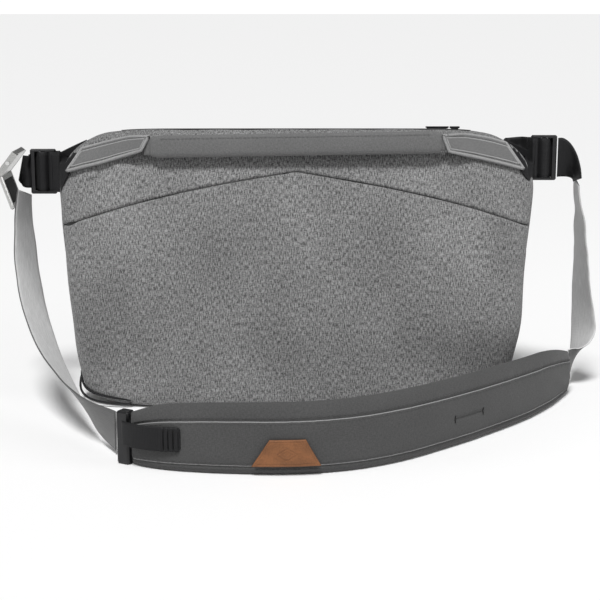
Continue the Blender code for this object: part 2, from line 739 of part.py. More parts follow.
def pad_trim(strap):
    """Leather patch, end buckle and pull tab of the pad."""
    rows = []
    for up, left, right in ((-0.78, 3.05, 4.45), (0.0, 3.40, 4.10)):
        row = []
        for part in (0, 0.5, 1):
            middle, out, half = pad_frame(left + (right - left) * part)
            reach = PAD_HALF_THICK + PAD_SKIN + 0.0009 + 0.0018
            row.append(middle + out * reach + Vector((0, 0, up * half)))
        rows.append(row)
    sheet("leather_patch", rows, 0.0012, LEATHER, strap)

    middle, out, half = pad_frame(0)
    along = Vector((-out.y, out.x, 0))
    turn = Matrix((along, -out, Vector((0, 0, 1)))).transposed()
    at = middle - along * 0.0075 + Vector((0, 0, -0.0001))
    frame = block("pad_end_buckle", (0.0120, 0.0110, 0.0450), at, BLACK_PLASTIC, 0.0015, turn, strap)
    cut(frame, block("end_buckle_slot", (0.0076, 0.0044, 0.0376), at - along * 0.0030, BLACK_PLASTIC, 0, turn))
    pin = at + out * 0.0070 + along * 0.0030
    hinge = pivot("pull_tab_axis", pin, (0, 0, -1))
    hinge.parent = strap
    hinge.matrix_parent_inverse = strap.matrix_world.inverted()
    bpy.context.view_layer.update()
    rows = []
    for up in (-0.0040, 0.0160):
        row = []
        for reach, lift in ((0.0005, 0.0005), (0.0100, 0.0030), (0.0260, 0.0042), (0.0390, 0.0042), (0.0520, 0.0042)):
            bend = 0.30 * max(reach - 0.0100, 0.0) ** 2 / 0.052
            row.append(pin + along * reach + out * (lift - bend) + Vector((0, 0, up)))
        rows.append(row)
    sheet("pull_tab", rows, 0.0018, BLACK_WEBBING, hinge, offset=1.0)


def corner_loops():
    """Thin webbing loops round the lower front corners."""
    route = ((0.28, 2.60), (0.20, 2.30), (0.12, 2.05), (0.05, 1.85), (-0.01, 1.65), (-0.05, 1.45))
    for name, corner in (("corner_loop_left", 0), ("corner_loop_right", 1)):
        turn = 1 if corner else -1
        rows = []
        for up in (-0.0028, 0.0028):
            row = [skin(corner + turn * away, v, -0.0026) + Vector((0, 0, up)) for away, v in route]
            rows.append(row if corner else row[::-1])
        sheet(name, rows, 0.0012, BLACK_WEBBING, offset=1.0)


def eyelet():
    at = front_point(0.1800, 0.2440, 0.0004)
    out = (front_point(0.1800, 0.2440, 0.01) - at).normalized()
    rod("zip_lock_eyelet", 0.0024, at, at + out * 0.0012, BLACK_PLASTIC, sides=12)


# ---- far side pocket ----


def outer_pocket():
    """A flat zipped pocket on the far side: its panel stands on the rear panel, and the zip runs along its top."""
    places = columns(2.125, 2.875, 0.0)
    patch("pocket_panel", places, [2, 3, 4, 5, 6], -0.0020, SKIN, HEATHER)
    patch("pocket_zip", places, [6.04, 6.18], -0.0019, 0.0014, BLACK_WEBBING)
    at = skin(2.78, 6.11, -0.0036)
    out = (skin(2.78, 6.11, -0.01) - at).normalized()
    turn = Matrix((Vector((1, 0, 0)), out, Vector((1, 0, 0)).cross(out))).transposed()
    block("pocket_slider", (0.0095, 0.0022, 0.0060), at, BLACK_PLASTIC, 0.0004, turn)
    pin = at + out * 0.0024
    hinge = pivot("pocket_pull_axis", pin, (1, 0, 0))
    size = (0.0050, 0.0014, 0.0230)
    block("pocket_pull", size, pin + Vector((0, 0.0004, -0.0115)), BLACK_PLASTIC, 0.0004, None, hinge)


# ---- inside ----


def dividers():
    """Two folding dividers: a wall, and a flap that folds down on it."""
    for name, side in (("divider_left", -1), ("divider_right", 1)):
        x = side * DIVIDER_X
        outline = []
        for v in (2.7, 3, 4, 5, 6):
            outline.append((skin(2.5, v).y - 0.0125, max(skin(2.5, v).z, 0.0150)))
        for v in (6, 5, 4, 3, 2.7):
            outline.append((skin(0.5, v).y + 0.0125, max(skin(0.5, v).z, 0.0150)))
        outline[4] = (outline[4][0], DIVIDER_TOP)
        outline[5] = (outline[5][0], DIVIDER_TOP)
        upright(f"{name}_wall", x, outline, LINER_GREY, None)
        fold = (x + side * DIVIDER_THICK / 2, 0, DIVIDER_TOP + 0.0004)
        hinge = pivot(f"{name}_axis", fold, (0, side, 0))
        front, rear = skin(0.5, 6.9).y + 0.0135, skin(2.5, 7.2).y - 0.0135
        low = DIVIDER_TOP + 0.0008
        shape = [(rear + 0.002, low), (rear, 0.2010), (front, 0.2010), (front - 0.004, low)]
        upright(f"{name}_flap", x, shape, LINER_GREY, hinge)


def upright(name, x, outline, look, parent):
    """A plate across the bag, given by its outline in y and z."""
    mesh = bpy.data.meshes.new(name)
    mesh.from_pydata([(x, y, z) for y, z in outline], [], [tuple(range(len(outline)))])
    obj = bpy.data.objects.new(name, mesh)
    thicken = obj.modifiers.new("thickness", "SOLIDIFY")
    thicken.thickness = DIVIDER_THICK
    thicken.offset = 0.0
    return finish(obj, look, parent)


def main():
    outer_panels()
    plate("base_panel", 0.1755, 0.0635, 0.0, 0.0014, HEATHER)
    plate("base_stiffener", 0.1730, 0.0610, 0.0018, 0.0040, BOARD)
    plate("foam_base", 0.1810, 0.0640, 0.0045, 0.0105, FOAM_GREY)
    padding()
    liner_tub()
    lid_and_zip()
    zip_garages()
    handle_patches()
    grab_handle()
    bag_tabs()
    buckle("buckle_left", BUCKLE_LEFT)
    buckle("buckle_right", BUCKLE_RIGHT)
    left = Vector((BUCKLE_LEFT[0], BUCKLE_Y, BUCKLE_LEFT[1]))
    right = Vector((BUCKLE_RIGHT[0], BUCKLE_Y, BUCKLE_RIGHT[1]))
    strap = pivot("strap_axis", left, left - right)
    strap_links(strap)
    adjuster(strap)
    strap_webbing(strap)
    strap_pad(strap)
    pad_trim(strap)
    corner_loops()
    eyelet()
    outer_pocket()
    dividers()


main()
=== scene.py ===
"""The looks of a sling camera bag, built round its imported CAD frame.

Everything is in metres in the frame's axes: +X right, +Y rear, +Z up, origin in the middle of the base.
The body's surface is the CAD loft, addressed by p (once round: 0-1 front, 1-2 right, 2-3 rear, 3-4 left)
and v (0 at the base, 10 at the rim). Soft pieces are dense grids and lofts with a "weave" UV map in metres.
"""

import math

import bmesh
import bpy
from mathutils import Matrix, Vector, noise


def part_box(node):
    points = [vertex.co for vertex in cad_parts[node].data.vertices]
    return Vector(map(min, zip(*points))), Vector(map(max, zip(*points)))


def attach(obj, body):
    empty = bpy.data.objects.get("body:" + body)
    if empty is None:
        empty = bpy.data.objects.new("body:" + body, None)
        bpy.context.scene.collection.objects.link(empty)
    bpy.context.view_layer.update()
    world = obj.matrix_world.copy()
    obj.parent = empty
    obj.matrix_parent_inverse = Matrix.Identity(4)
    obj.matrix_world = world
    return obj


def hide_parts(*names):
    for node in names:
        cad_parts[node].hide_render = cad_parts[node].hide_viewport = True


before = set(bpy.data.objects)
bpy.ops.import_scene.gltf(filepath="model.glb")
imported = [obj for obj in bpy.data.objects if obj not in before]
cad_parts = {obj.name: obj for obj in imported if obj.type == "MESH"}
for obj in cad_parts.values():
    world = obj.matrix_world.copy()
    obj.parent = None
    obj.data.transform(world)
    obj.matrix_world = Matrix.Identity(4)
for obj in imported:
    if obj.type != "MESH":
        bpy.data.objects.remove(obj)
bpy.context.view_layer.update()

# ---- sizes that the CAD model has too ----

# Body sections: height at the front, height at the rear, half width, front, rear, squareness, corner droop
SECTIONS = (
    (0.0004, 0.0004, 0.1780, -0.0660, 0.0660, 5.0, 0.000),
    (0.0040, 0.0040, 0.1910, -0.0725, 0.0725, 5.0, 0.000),
    (0.0120, 0.0120, 0.2020, -0.0770, 0.0765, 5.0, 0.000),
    (0.0350, 0.0350, 0.2065, -0.0795, 0.0785, 5.0, 0.000),
    (0.0800, 0.0800, 0.2125, -0.0795, 0.0785, 5.0, 0.000),
    (0.1300, 0.1280, 0.2165, -0.0740, 0.0745, 5.0, 0.000),
    (0.1780, 0.1720, 0.2210, -0.0640, 0.0685, 5.0, 0.000),
    (0.2120, 0.1990, 0.2225, -0.0530, 0.0625, 5.5, 0.002),
    (0.2355, 0.2160, 0.2165, -0.0400, 0.0575, 6.0, 0.005),
    (0.2495, 0.2255, 0.2085, -0.0240, 0.0535, 7.0, 0.009),
    (0.2555, 0.2290, 0.2000, -0.0080, 0.0500, 8.0, 0.012),
)
RIM_V = len(SECTIONS) - 1
LID_CROWN = 0.004
LID_HALF = 0.1650
SKIN = 0.0014
SEAM_TOP = 0.2200
SEAM_FALL = (0.161, 1.55)

WEBBING = 0.0360
WEBBING_THICK = 0.0016
BUCKLE_Y = -0.0100
BUCKLE_LEFT = (-0.2393, 0.2150)
BUCKLE_RIGHT = (0.2340, 0.2280)
BUCKLE_SIZE = (0.0245, 0.0044, 0.0425)
BUCKLE_BAR = 0.0042
LOOP_RADIUS = 0.0042

# Middle line of the strap webbing and the direction across it
STRAP_LEFT = (
    ((-0.2600, -0.002, 0.194), (-0.17, -0.96, 0.22)),
    ((-0.2600, -0.010, 0.166), (-0.30, -0.90, 0.32)),
    ((-0.2575, -0.021, 0.140), (-0.44, -0.81, 0.39)),
    ((-0.2525, -0.036, 0.116), (-0.51, -0.75, 0.42)),
    ((-0.2455, -0.055, 0.095), (-0.55, -0.70, 0.45)),
    ((-0.2360, -0.075, 0.077), (-0.56, -0.67, 0.49)),
    ((-0.2250, -0.097, 0.061), (-0.55, -0.63, 0.55)),
    ((-0.2120, -0.120, 0.048), (-0.51, -0.58, 0.63)),
    ((-0.1980, -0.144, 0.038), (-0.44, -0.52, 0.73)),
    ((-0.1840, -0.168, 0.030), (-0.34, -0.43, 0.84)),
    ((-0.1690, -0.191, 0.025), (-0.20, -0.28, 0.94)),
    ((-0.1500, -0.215, 0.022), (0.00, -0.07, 1.00)),
)
STRAP_RIGHT = (
    ((0.2680, 0.000, 0.204), (-0.08, -0.99, -0.06)),
    ((0.2710, 0.002, 0.184), (0.00, -0.99, -0.14)),
    ((0.2740, 0.006, 0.165), (0.09, -0.97, -0.20)),
    ((0.2770, 0.012, 0.146), (0.16, -0.96, -0.24)),
    ((0.2790, 0.017, 0.127), (0.21, -0.95, -0.24)),
    ((0.2810, 0.022, 0.108), (0.27, -0.94, -0.18)),
    ((0.2830, 0.026, 0.089), (0.36, -0.93, -0.08)),
    ((0.2850, 0.027, 0.070), (0.45, -0.89, 0.06)),
    ((0.2855, 0.025, 0.052), (0.50, -0.83, 0.24)),
    ((0.2820, 0.018, 0.037), (0.38, -0.78, 0.50)),
    ((0.2745, 0.009, 0.027), (0.14, -0.54, 0.83)),
    ((0.2685, 0.002, 0.023), (0.00, -0.20, 0.98)),
)
# Plan of the pad's middle line, left to right, with its half height
PAD_ROUTE = (
    (-0.1330, -0.2350, 0.0225),
    (-0.1100, -0.2470, 0.0270),
    (-0.0780, -0.2550, 0.0290),
    (-0.0370, -0.2595, 0.0298),
    (0.0040, -0.2590, 0.0300),
    (0.0440, -0.2500, 0.0303),
    (0.0820, -0.2300, 0.0305),
    (0.1180, -0.2010, 0.0303),
    (0.1530, -0.1680, 0.0300),
    (0.1830, -0.1370, 0.0298),
    (0.2080, -0.1080, 0.0292),
    (0.2290, -0.0780, 0.0280),
    (0.2480, -0.0440, 0.0245),
    (0.2630, -0.0130, 0.0200),
)
GRIP_Z, GRIP_SLOPE, GRIP_Y, GRIP_HALF = 0.2445, 0.016, -0.0515, 0.1330

# ---- stage: camera, lights, floor ----

AIM = Vector((0.0037, -0.0700, 0.1030))
DISTANCE = 1.30
ELEVATION = math.radians(12)
LENS = 84.5
SKY_LIGHT = 0.18  # strength of the world as a light
SKY_SEEN = 1.06  # strength of the world as the camera sees it
FLOOR_REACH = 40.0


def make_camera():
    data = bpy.data.cameras.new("camera")
    data.lens = LENS
    data.sensor_width = 36.0
    camera = bpy.data.objects.new("camera", data)
    back = Vector((0, -math.cos(ELEVATION), math.sin(ELEVATION)))
    camera.location = AIM + DISTANCE * back
    camera.rotation_euler = back.to_track_quat("Z", "Y").to_euler()
    bpy.context.scene.collection.objects.link(camera)
    bpy.context.scene.camera = camera


def area_light(name, place, size, power):
    data = bpy.data.lights.new(name, "AREA")
    data.shape = "SQUARE"
    data.size = size
    data.energy = power
    light = bpy.data.objects.new(name, data)
    light.location = place
    light.rotation_euler = (Vector(place) - Vector((0, 0, 0.12))).to_track_quat("Z", "Y").to_euler()
    bpy.context.scene.collection.objects.link(light)


def sun_light(name, towards, angle, power):
    data = bpy.data.lights.new(name, "SUN")
    data.angle = math.radians(angle)
    data.energy = power
    light = bpy.data.objects.new(name, data)
    light.rotation_euler = Vector(towards).to_track_quat("Z", "Y").to_euler()
    bpy.context.scene.collection.objects.link(light)


def make_stage():
    sun_light("overhead", (-0.12, -0.55, 1.0), 16, 2.95)
    area_light("right_fill", (1.50, -0.75, 0.55), 0.7, 6)
    area_light("left_fill", (-1.60, -0.60, 0.60), 0.7, 3)
    world = bpy.data.worlds.new("studio")
    world.use_nodes = True
    nodes, links = world.node_tree.nodes, world.node_tree.links
    sky = nodes["Background"]
    sky.inputs["Color"].default_value = (1, 1, 1, 1)
    ray = nodes.new("ShaderNodeLightPath")
    strength = nodes.new("ShaderNodeMapRange")
    strength.inputs["To Min"].default_value = SKY_LIGHT
    strength.inputs["To Max"].default_value = SKY_SEEN
    links.new(ray.outputs["Is Camera Ray"], strength.inputs["Value"])
    links.new(strength.outputs["Result"], sky.inputs["Strength"])
    bpy.context.scene.world = world
    bpy.context.scene.view_settings.view_transform = "Standard"
    mesh = bpy.data.meshes.new("floor")
    corners = [(x * FLOOR_REACH, y * FLOOR_REACH, 0) for x, y in ((-1, -1), (1, -1), (1, 1), (-1, 1))]
    mesh.from_pydata(corners, [], [(0, 1, 2, 3)])
    floor = bpy.data.objects.new("floor", mesh)
    pale = Look("floor_pale", (0.93, 0.93, 0.93), 0.85)
    mesh.materials.append(pale.material)
    bpy.context.scene.collection.objects.link(floor)


# ---- materials ----


class Look:
    """A Principled material with short ways to add nodes."""

    def __init__(self, name, colour, roughness, metallic=0.0, sheen=0.0, specular=0.3):
        self.material = bpy.data.materials.new(name)
        self.material.use_nodes = True
        self.tree = self.material.node_tree
        self.shader = self.tree.nodes["Principled BSDF"]
        self.set("Base Color", (*colour, 1.0))
        self.set("Roughness", roughness)
        self.set("Metallic", metallic)
        self.set("Sheen Weight", sheen)
        self.set("Sheen Roughness", 0.5)
        self.set("Specular IOR Level", specular)

    def set(self, name, value):
        self.put(self.shader.inputs[name], value)

    def put(self, socket, value):
        if isinstance(value, bpy.types.NodeSocket):
            self.tree.links.new(value, socket)
        else:
            socket.default_value = value

    def node(self, kind, inputs=(), **settings):
        made = self.tree.nodes.new("ShaderNode" + kind)
        for key, value in settings.items():
            setattr(made, key, value)
        for key, value in inputs:
            self.put(made.inputs[key], value)
        return made

    def place(self, scale, own_map=True):
        """Coordinates in metres times scale: the piece's weave map, or its own axes."""
        if own_map:
            source = self.node("UVMap", uv_map="weave").outputs["UV"]
        else:
            source = self.node("TexCoord").outputs["Object"]
        return self.node("Mapping", [("Vector", source), ("Scale", scale)]).outputs["Vector"]

    def noise(self, scale, detail=2.0, own_map=True, rough=0.5):
        spots = self.node(
            "TexNoise",
            [("Vector", self.place(scale, own_map)), ("Scale", 1.0), ("Detail", detail), ("Roughness", rough)],
        )
        return spots.outputs["Fac"]

    def vary_roughness(self, factor, low, high):
        span = [("Value", factor), ("From Min", 0.3), ("From Max", 0.7), ("To Min", low), ("To Max", high)]
        self.set("Roughness", self.node("MapRange", span).outputs["Result"])

    def math(self, operation, a, b=0.0, c=0.0):
        made = self.node("Math", [(0, a), (1, b), (2, c)], operation=operation)
        return made.outputs[0]

    def total(self, *parts):
        """Sum of (share, output) pairs."""
        result = 0.0
        for share, part in parts:
            result = self.math("MULTIPLY_ADD", part, share, result)
        return result

    def waves(self, pitch, own_map=True):
        """Threads crossing at right angles: 0 in the gaps, 1 on the crowns."""
        turn = math.pi / pitch
        split = self.node("SeparateXYZ", [(0, self.place((turn, turn, turn), own_map))])
        u, v = (self.math("ABSOLUTE", self.math("SINE", split.outputs[k])) for k in (0, 1))
        return u, v

    def ramp(self, value, *stops):
        made = self.node("ValToRGB", [("Fac", value)])
        points = made.color_ramp.elements
        while len(points) < len(stops):
            points.new(0.5)
        for point, (position, colour) in zip(points, stops):
            point.position = position
            point.color = (*colour, 1.0)
        return made.outputs["Color"]

    def shade(self, colour, value, least, most):
        """The colour multiplied by least to most as the value goes from 0.3 to 0.7."""
        factor = self.node(
            "MapRange", [("Value", value), ("From Min", 0.3), ("From Max", 0.7), ("To Min", least), ("To Max", most)]
        )
        return self.node(
            "VectorMath", [(0, colour), ("Scale", factor.outputs["Result"])], operation="SCALE"
        ).outputs["Vector"]

    def bump(self, height, strength, distance):
        made = self.node("Bump", [("Height", height), ("Strength", strength), ("Distance", distance)])
        self.set("Normal", made.outputs["Normal"])


def grey(level):
    return (level, level, level)


def heather_look(name, dark, light):
    """Two-tone melange: light and dark fibres along and across the weave."""
    look = Look(name, light, 0.92, sheen=0.10, specular=0.12)
    warp = look.noise((1150, 230, 1), 2.0)
    weft = look.noise((260, 1150, 1), 2.0)
    fleck = look.noise((950, 800, 1), 1.0)
    mixed = look.total((0.55, warp), (0.25, weft), (0.20, fleck))
    colour = look.ramp(mixed, (0.41, dark), (0.60, light))
    colour = look.shade(colour, look.noise((14, 9, 1), 3.0), 0.84, 1.14)
    look.set("Base Color", colour)
    u, v = look.waves(0.0011)
    look.bump(look.total((0.5, u), (0.5, v), (0.8, warp), (0.5, weft)), 0.35, 0.0003)
    return look.material


def plain_look(name, colour, pitch=0.0009, sheen=0.10):
    """A close plain weave in one colour, with a little mottle."""
    look = Look(name, colour, 0.88, sheen=sheen, specular=0.15)
    fibre = look.noise((1400, 420, 1), 2.0)
    cross = look.noise((420, 1400, 1), 2.0)
    toned = look.ramp(
        look.total((0.5, fibre), (0.5, cross)),
        (0.36, tuple(c * 0.80 for c in colour)),
        (0.64, tuple(c * 1.16 for c in colour)),
    )
    look.set("Base Color", look.shade(toned, look.noise((22, 15, 1), 3.0), 0.94, 1.06))
    u, v = look.waves(pitch)
    look.bump(look.total((0.5, u), (0.5, v), (0.5, fibre)), 0.30, 0.00025)
    return look.material


def webbing_look(name, colour, pitch, roughness, sheen, specular, painted_face_shade=1.0, turned=False):
    """Webbing: round ribs along it and slanting threads on each rib. A face factor below 1 darkens one whole face of
    the webbing as painted shade; turned puts it on the other face.
    """
    look = Look(name, colour, roughness, sheen=sheen, specular=specular)
    turn = math.tau / pitch
    split = look.node("SeparateXYZ", [(0, look.place((turn, turn, 1)))])
    u, v = split.outputs[0], split.outputs[1]
    rib = look.math("ABSOLUTE", look.math("SINE", look.math("MULTIPLY", u, 0.5)))
    slant = look.math("SINE", look.math("MULTIPLY_ADD", v, 1.1, look.math("MULTIPLY", rib, 2.2)))
    fibre = look.noise((900, 90, 1), 2.0)
    value = look.total((0.22, rib), (0.07, slant), (0.55, fibre))
    toned = look.ramp(
        value, (0.22, tuple(c * 0.72 for c in colour)), (0.62, tuple(min(1.0, c * 1.10) for c in colour))
    )
    toned = look.shade(toned, look.noise((30, 12, 1), 2.0), 0.96, 1.04)
    # painted shade: one whole face of the webbing is darkened to look shaded
    if painted_face_shade < 1.0:
        reach = look.node("SeparateXYZ", [(0, look.place((1, 1, 1)))]).outputs[0]
        face = look.math("LESS_THAN" if turned else "GREATER_THAN", reach, WEBBING)
        toned = look.shade(toned, face, 1.0, painted_face_shade)
    look.set("Base Color", toned)
    look.bump(look.total((1.0, rib), (0.25, slant)), 0.35, 0.0002)
    return look.material


def moulded_look(name, colour, roughness):
    """Satin moulded nylon: a fine spark texture and slight changes of gloss."""
    look = Look(name, colour, roughness, specular=0.45)
    gloss = look.noise((180, 180, 180), 3.0, own_map=False)
    look.vary_roughness(gloss, roughness - 0.07, roughness + 0.10)
    toned = look.ramp(gloss, (0.3, tuple(c * 0.85 for c in colour)), (0.7, tuple(c * 1.2 for c in colour)))
    look.set("Base Color", toned)
    look.bump(look.noise((2600, 2600, 2600), 1.0, own_map=False), 0.18, 0.00008)
    return look.material


def metal_look(name, colour, roughness, along):
    """Brushed and anodised: fine lines along one axis, rubbed brighter in patches."""
    look = Look(name, colour, roughness, metallic=1.0, specular=0.5)
    lines = look.noise(along, 3.0, own_map=False, rough=0.6)
    wear = look.noise((90, 90, 90), 3.0, own_map=False)
    look.vary_roughness(lines, roughness - 0.06, roughness + 0.10)
    toned = look.ramp(lines, (0.2, tuple(c * 0.9 for c in colour)), (0.8, colour))
    look.set("Base Color", look.shade(toned, wear, 0.93, 1.04))
    look.bump(lines, 0.10, 0.00006)
    return look.material


def leather_look(name, colour):
    look = Look(name, colour, 0.55, specular=0.35)
    grain = look.node("TexVoronoi", [("Vector", look.place((900, 900, 1))), ("Scale", 1.0)]).outputs["Distance"]
    cloud = look.noise((60, 80, 1), 4.0)
    fine = look.noise((700, 700, 1), 2.0)
    toned = look.ramp(
        look.total((0.7, cloud), (0.3, fine)),
        (0.36, tuple(c * 0.72 for c in colour)),
        (0.62, tuple(min(1.0, c * 1.18) for c in colour)),
    )
    look.set("Base Color", toned)
    look.set("Roughness", look.math("MULTIPLY_ADD", cloud, 0.3, 0.42))
    look.bump(look.total((-0.5, grain), (0.6, fine)), 0.35, 0.00025)
    return look.material


def foam_look(name, colour):
    look = Look(name, colour, 0.95, sheen=0.3, specular=0.1)
    cells = look.node(
        "TexVoronoi", [("Vector", look.place((1100, 1100, 1100), own_map=False)), ("Scale", 1.0)]
    ).outputs["Distance"]
    cloud = look.noise((60, 60, 60), 3.0, own_map=False)
    toned = look.ramp(cloud, (0.3, tuple(c * 0.85 for c in colour)), (0.7, tuple(c * 1.1 for c in colour)))
    look.set("Base Color", toned)
    look.bump(cells, 0.3, 0.0003)
    return look.material


HEATHER = heather_look("heather_fabric", grey(0.072), grey(0.310))
SMOOTH = plain_look("smooth_fabric", grey(0.145))
# lighter cloth for the piping, also used as painted highlight on the cords along the pad's seams
PIPING_AND_SEAM_HIGHLIGHT = plain_look("piping_and_seam_highlight", grey(0.290))
PAD_CLOTH = plain_look("pad_cloth", grey(0.072))
LINER = plain_look("liner_fabric", (0.33, 0.33, 0.335), 0.0007, 0.35)
# both strap looks carry painted shade on one face of the webbing, the turned one on the other face
STRAP = webbing_look("strap_webbing", grey(0.62), 0.0016, 0.50, 0.15, 0.35, painted_face_shade=0.15)
STRAP_TURNED = webbing_look("strap_webbing_turned", grey(0.62), 0.0016, 0.50, 0.15, 0.35, painted_face_shade=0.15, turned=True)
BLACK_WEB = webbing_look("black_webbing", (0.013, 0.013, 0.014), 0.0014, 0.62, 0.02, 0.22)
PLASTIC = moulded_look("black_plastic", (0.009, 0.009, 0.010), 0.34)
METAL = metal_look("satin_aluminium", (0.56, 0.56, 0.55), 0.28, (260, 2600, 2600))
PIN_METAL = metal_look("bright_pin", (0.78, 0.78, 0.77), 0.20, (2000, 150, 2000))
LEATHER = leather_look("tan_leather", (0.215, 0.088, 0.034))
FOAM = foam_look("grey_foam", grey(0.26))
BOARD = moulded_look("stiffener_board", (0.03, 0.03, 0.03), 0.55)
THREAD = plain_look("thread", grey(0.20), 0.0004)
DARK_THREAD = plain_look("dark_thread", grey(0.020), 0.0004)


# ---- making pieces ----


def piece(name, mesh, look, body, replaces=(), smooth=True):
    obj = bpy.data.objects.new(name, mesh)
    bpy.context.scene.collection.objects.link(obj)
    mesh.materials.clear()
    mesh.materials.append(look)
    if smooth:
        mesh.shade_smooth()
    if body:
        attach(obj, body)
    if replaces:
        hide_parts(*([replaces] if isinstance(replaces, str) else replaces))
    return obj


def grid_mesh(name, rows, thickness, offset=-1.0):
    """A dense sheet of cloth: points row by row, its weave map in metres, thickened inwards."""
    width, height = len(rows[0]), len(rows)
    mesh = bpy.data.meshes.new(name)
    faces = []
    for r in range(height - 1):
        for c in range(width - 1):
            a = r * width + c
            faces.append((a, a + 1, a + width + 1, a + width))
    mesh.from_pydata([tuple(point) for row in rows for point in row], [], faces)
    weave = []
    along = [0.0] * width
    for r, row in enumerate(rows):
        if r:
            for c in range(width):
                along[c] += (row[c] - rows[r - 1][c]).length
        across = [0.0]
        for c in range(1, width):
            across.append(across[-1] + (row[c] - row[c - 1]).length)
        middle = across[width // 2]
        weave += [(across[c] - middle, along[c]) for c in range(width)]
    uv = mesh.uv_layers.new(name="weave")
    for loop in mesh.loops:
        uv.data[loop.index].uv = weave[loop.vertex_index]
    if thickness:
        mesh = with_modifier(mesh, "SOLIDIFY", thickness=thickness, offset=offset, use_even_offset=True)
    return mesh


def with_modifier(mesh, kind, **settings):
    """The mesh after one modifier."""
    holder = bpy.data.objects.new("holder", mesh)
    bpy.context.scene.collection.objects.link(holder)
    modifier = holder.modifiers.new("step", kind)
    for key, value in settings.items():
        setattr(modifier, key, value)
    bpy.context.view_layer.update()
    graph = bpy.context.evaluated_depsgraph_get()
    made = bpy.data.meshes.new_from_object(holder.evaluated_get(graph))
    name = mesh.name
    bpy.data.objects.remove(holder)
    bpy.data.meshes.remove(mesh)
    made.name = name
    return made


def loft_mesh(name, frames, profile, closed_ends=True, ring=False):
    """A profile of (across, up) points swept along frames of (origin, across, up). Each frame may carry its own
    profile as a fourth entry. ring joins the last frame to the first."""
    mesh = bpy.data.meshes.new(name)
    points, weave, faces = [], [], []
    count = len(profile)
    along = 0.0
    before = None
    for entry in frames:
        origin, across, up = entry[:3]
        own = entry[3] if len(entry) > 3 else profile
        if before is not None:
            along += (origin - before).length
        before = origin
        reach = 0.0
        last = None
        for a, b in own:
            point = origin + across * a + up * b
            if last is not None:
                reach += (point - last).length
            last = point
            points.append(tuple(point))
            weave.append((reach, along))
    total = len(frames)
    for r in range(total if ring else total - 1):
        s = (r + 1) % total
        for c in range(count):
            d = (c + 1) % count
            faces.append((r * count + c, r * count + d, s * count + d, s * count + c))
    if closed_ends and not ring:
        faces.append(tuple(reversed(range(count))))
        faces.append(tuple((total - 1) * count + k for k in range(count)))
    mesh.from_pydata(points, [], faces)
    uv = mesh.uv_layers.new(name="weave")
    for face in mesh.polygons:
        for index in face.loop_indices:
            at = weave[mesh.loops[index].vertex_index]
            wraps = len(face.vertices) == 4 and face.vertices[0] % count == count - 1
            if wraps and mesh.loops[index].vertex_index % count == 0:
                at = (at[0] + weave[count - 1][0] + 0.001, at[1])
            uv.data[index].uv = at
    face_outwards(mesh)
    return mesh


def face_outwards(mesh):
    shape = bmesh.new()
    shape.from_mesh(mesh)
    bmesh.ops.recalc_face_normals(shape, faces=shape.faces)
    shape.to_mesh(mesh)
    shape.free()


def curve_through(rows, count):
    """Rows of numbers, resampled evenly in number on a Catmull-Rom curve."""
    last = len(rows) - 1
    return [smooth_row(rows, last * k / (count - 1)) for k in range(count)]


def frames_along(path, up_hint=Vector((0, 0, 1)), ring=False):
    """Frames for a tube along a path of points."""
    found = []
    count = len(path)
    for k, here in enumerate(path):
        if ring:
            before, after = path[k - 1], path[(k + 1) % count]
        else:
            before, after = path[max(k - 1, 0)], path[min(k + 1, count - 1)]
        way = (after - before).normalized()
        across = way.cross(up_hint)
        if across.length < 1e-4:
            across = way.cross(Vector((0, 1, 0.01)))
        across.normalize()
        found.append((here, across, across.cross(way).normalized()))
    return found


def round_profile(radius, sides=8, squash=1.0):
    return [
        (radius * math.cos(math.tau * k / sides), radius * squash * math.sin(math.tau * k / sides))
        for k in range(sides)
    ]


def flat_profile(width, thickness, steps=10, cup=0.0):
    """The section of webbing: flat faces and rounded edges. cup bows it across."""
    half, thick = width / 2, thickness / 2
    edge = thick * 0.8
    top, bottom = [], []
    for k in range(steps + 1):
        a = -half + edge + (width - 2 * edge) * k / steps
        bow = cup * (1 - (a / half) ** 2)
        top.append((a, thick + bow))
        bottom.append((a, -thick + bow))
    return [(-half, 0.0)] + top + [(half, 0.0)] + bottom[::-1]


def cord_piece(name, path, radius, look, body, ring=False, sides=8):
    mesh = loft_mesh(name, frames_along(path, ring=ring), round_profile(radius, sides), ring=ring)
    return piece(name, mesh, look, body)


def walk(path, step):
    """Points every step along a path of points, ends included."""
    found, spare = [path[0].copy()], step
    for a, b in zip(path, path[1:]):
        length = (b - a).length
        while length >= spare > 0:
            a = a + (b - a) * (spare / length)
            found.append(a.copy())
            length = (b - a).length
            spare = step
        spare -= length
    return found


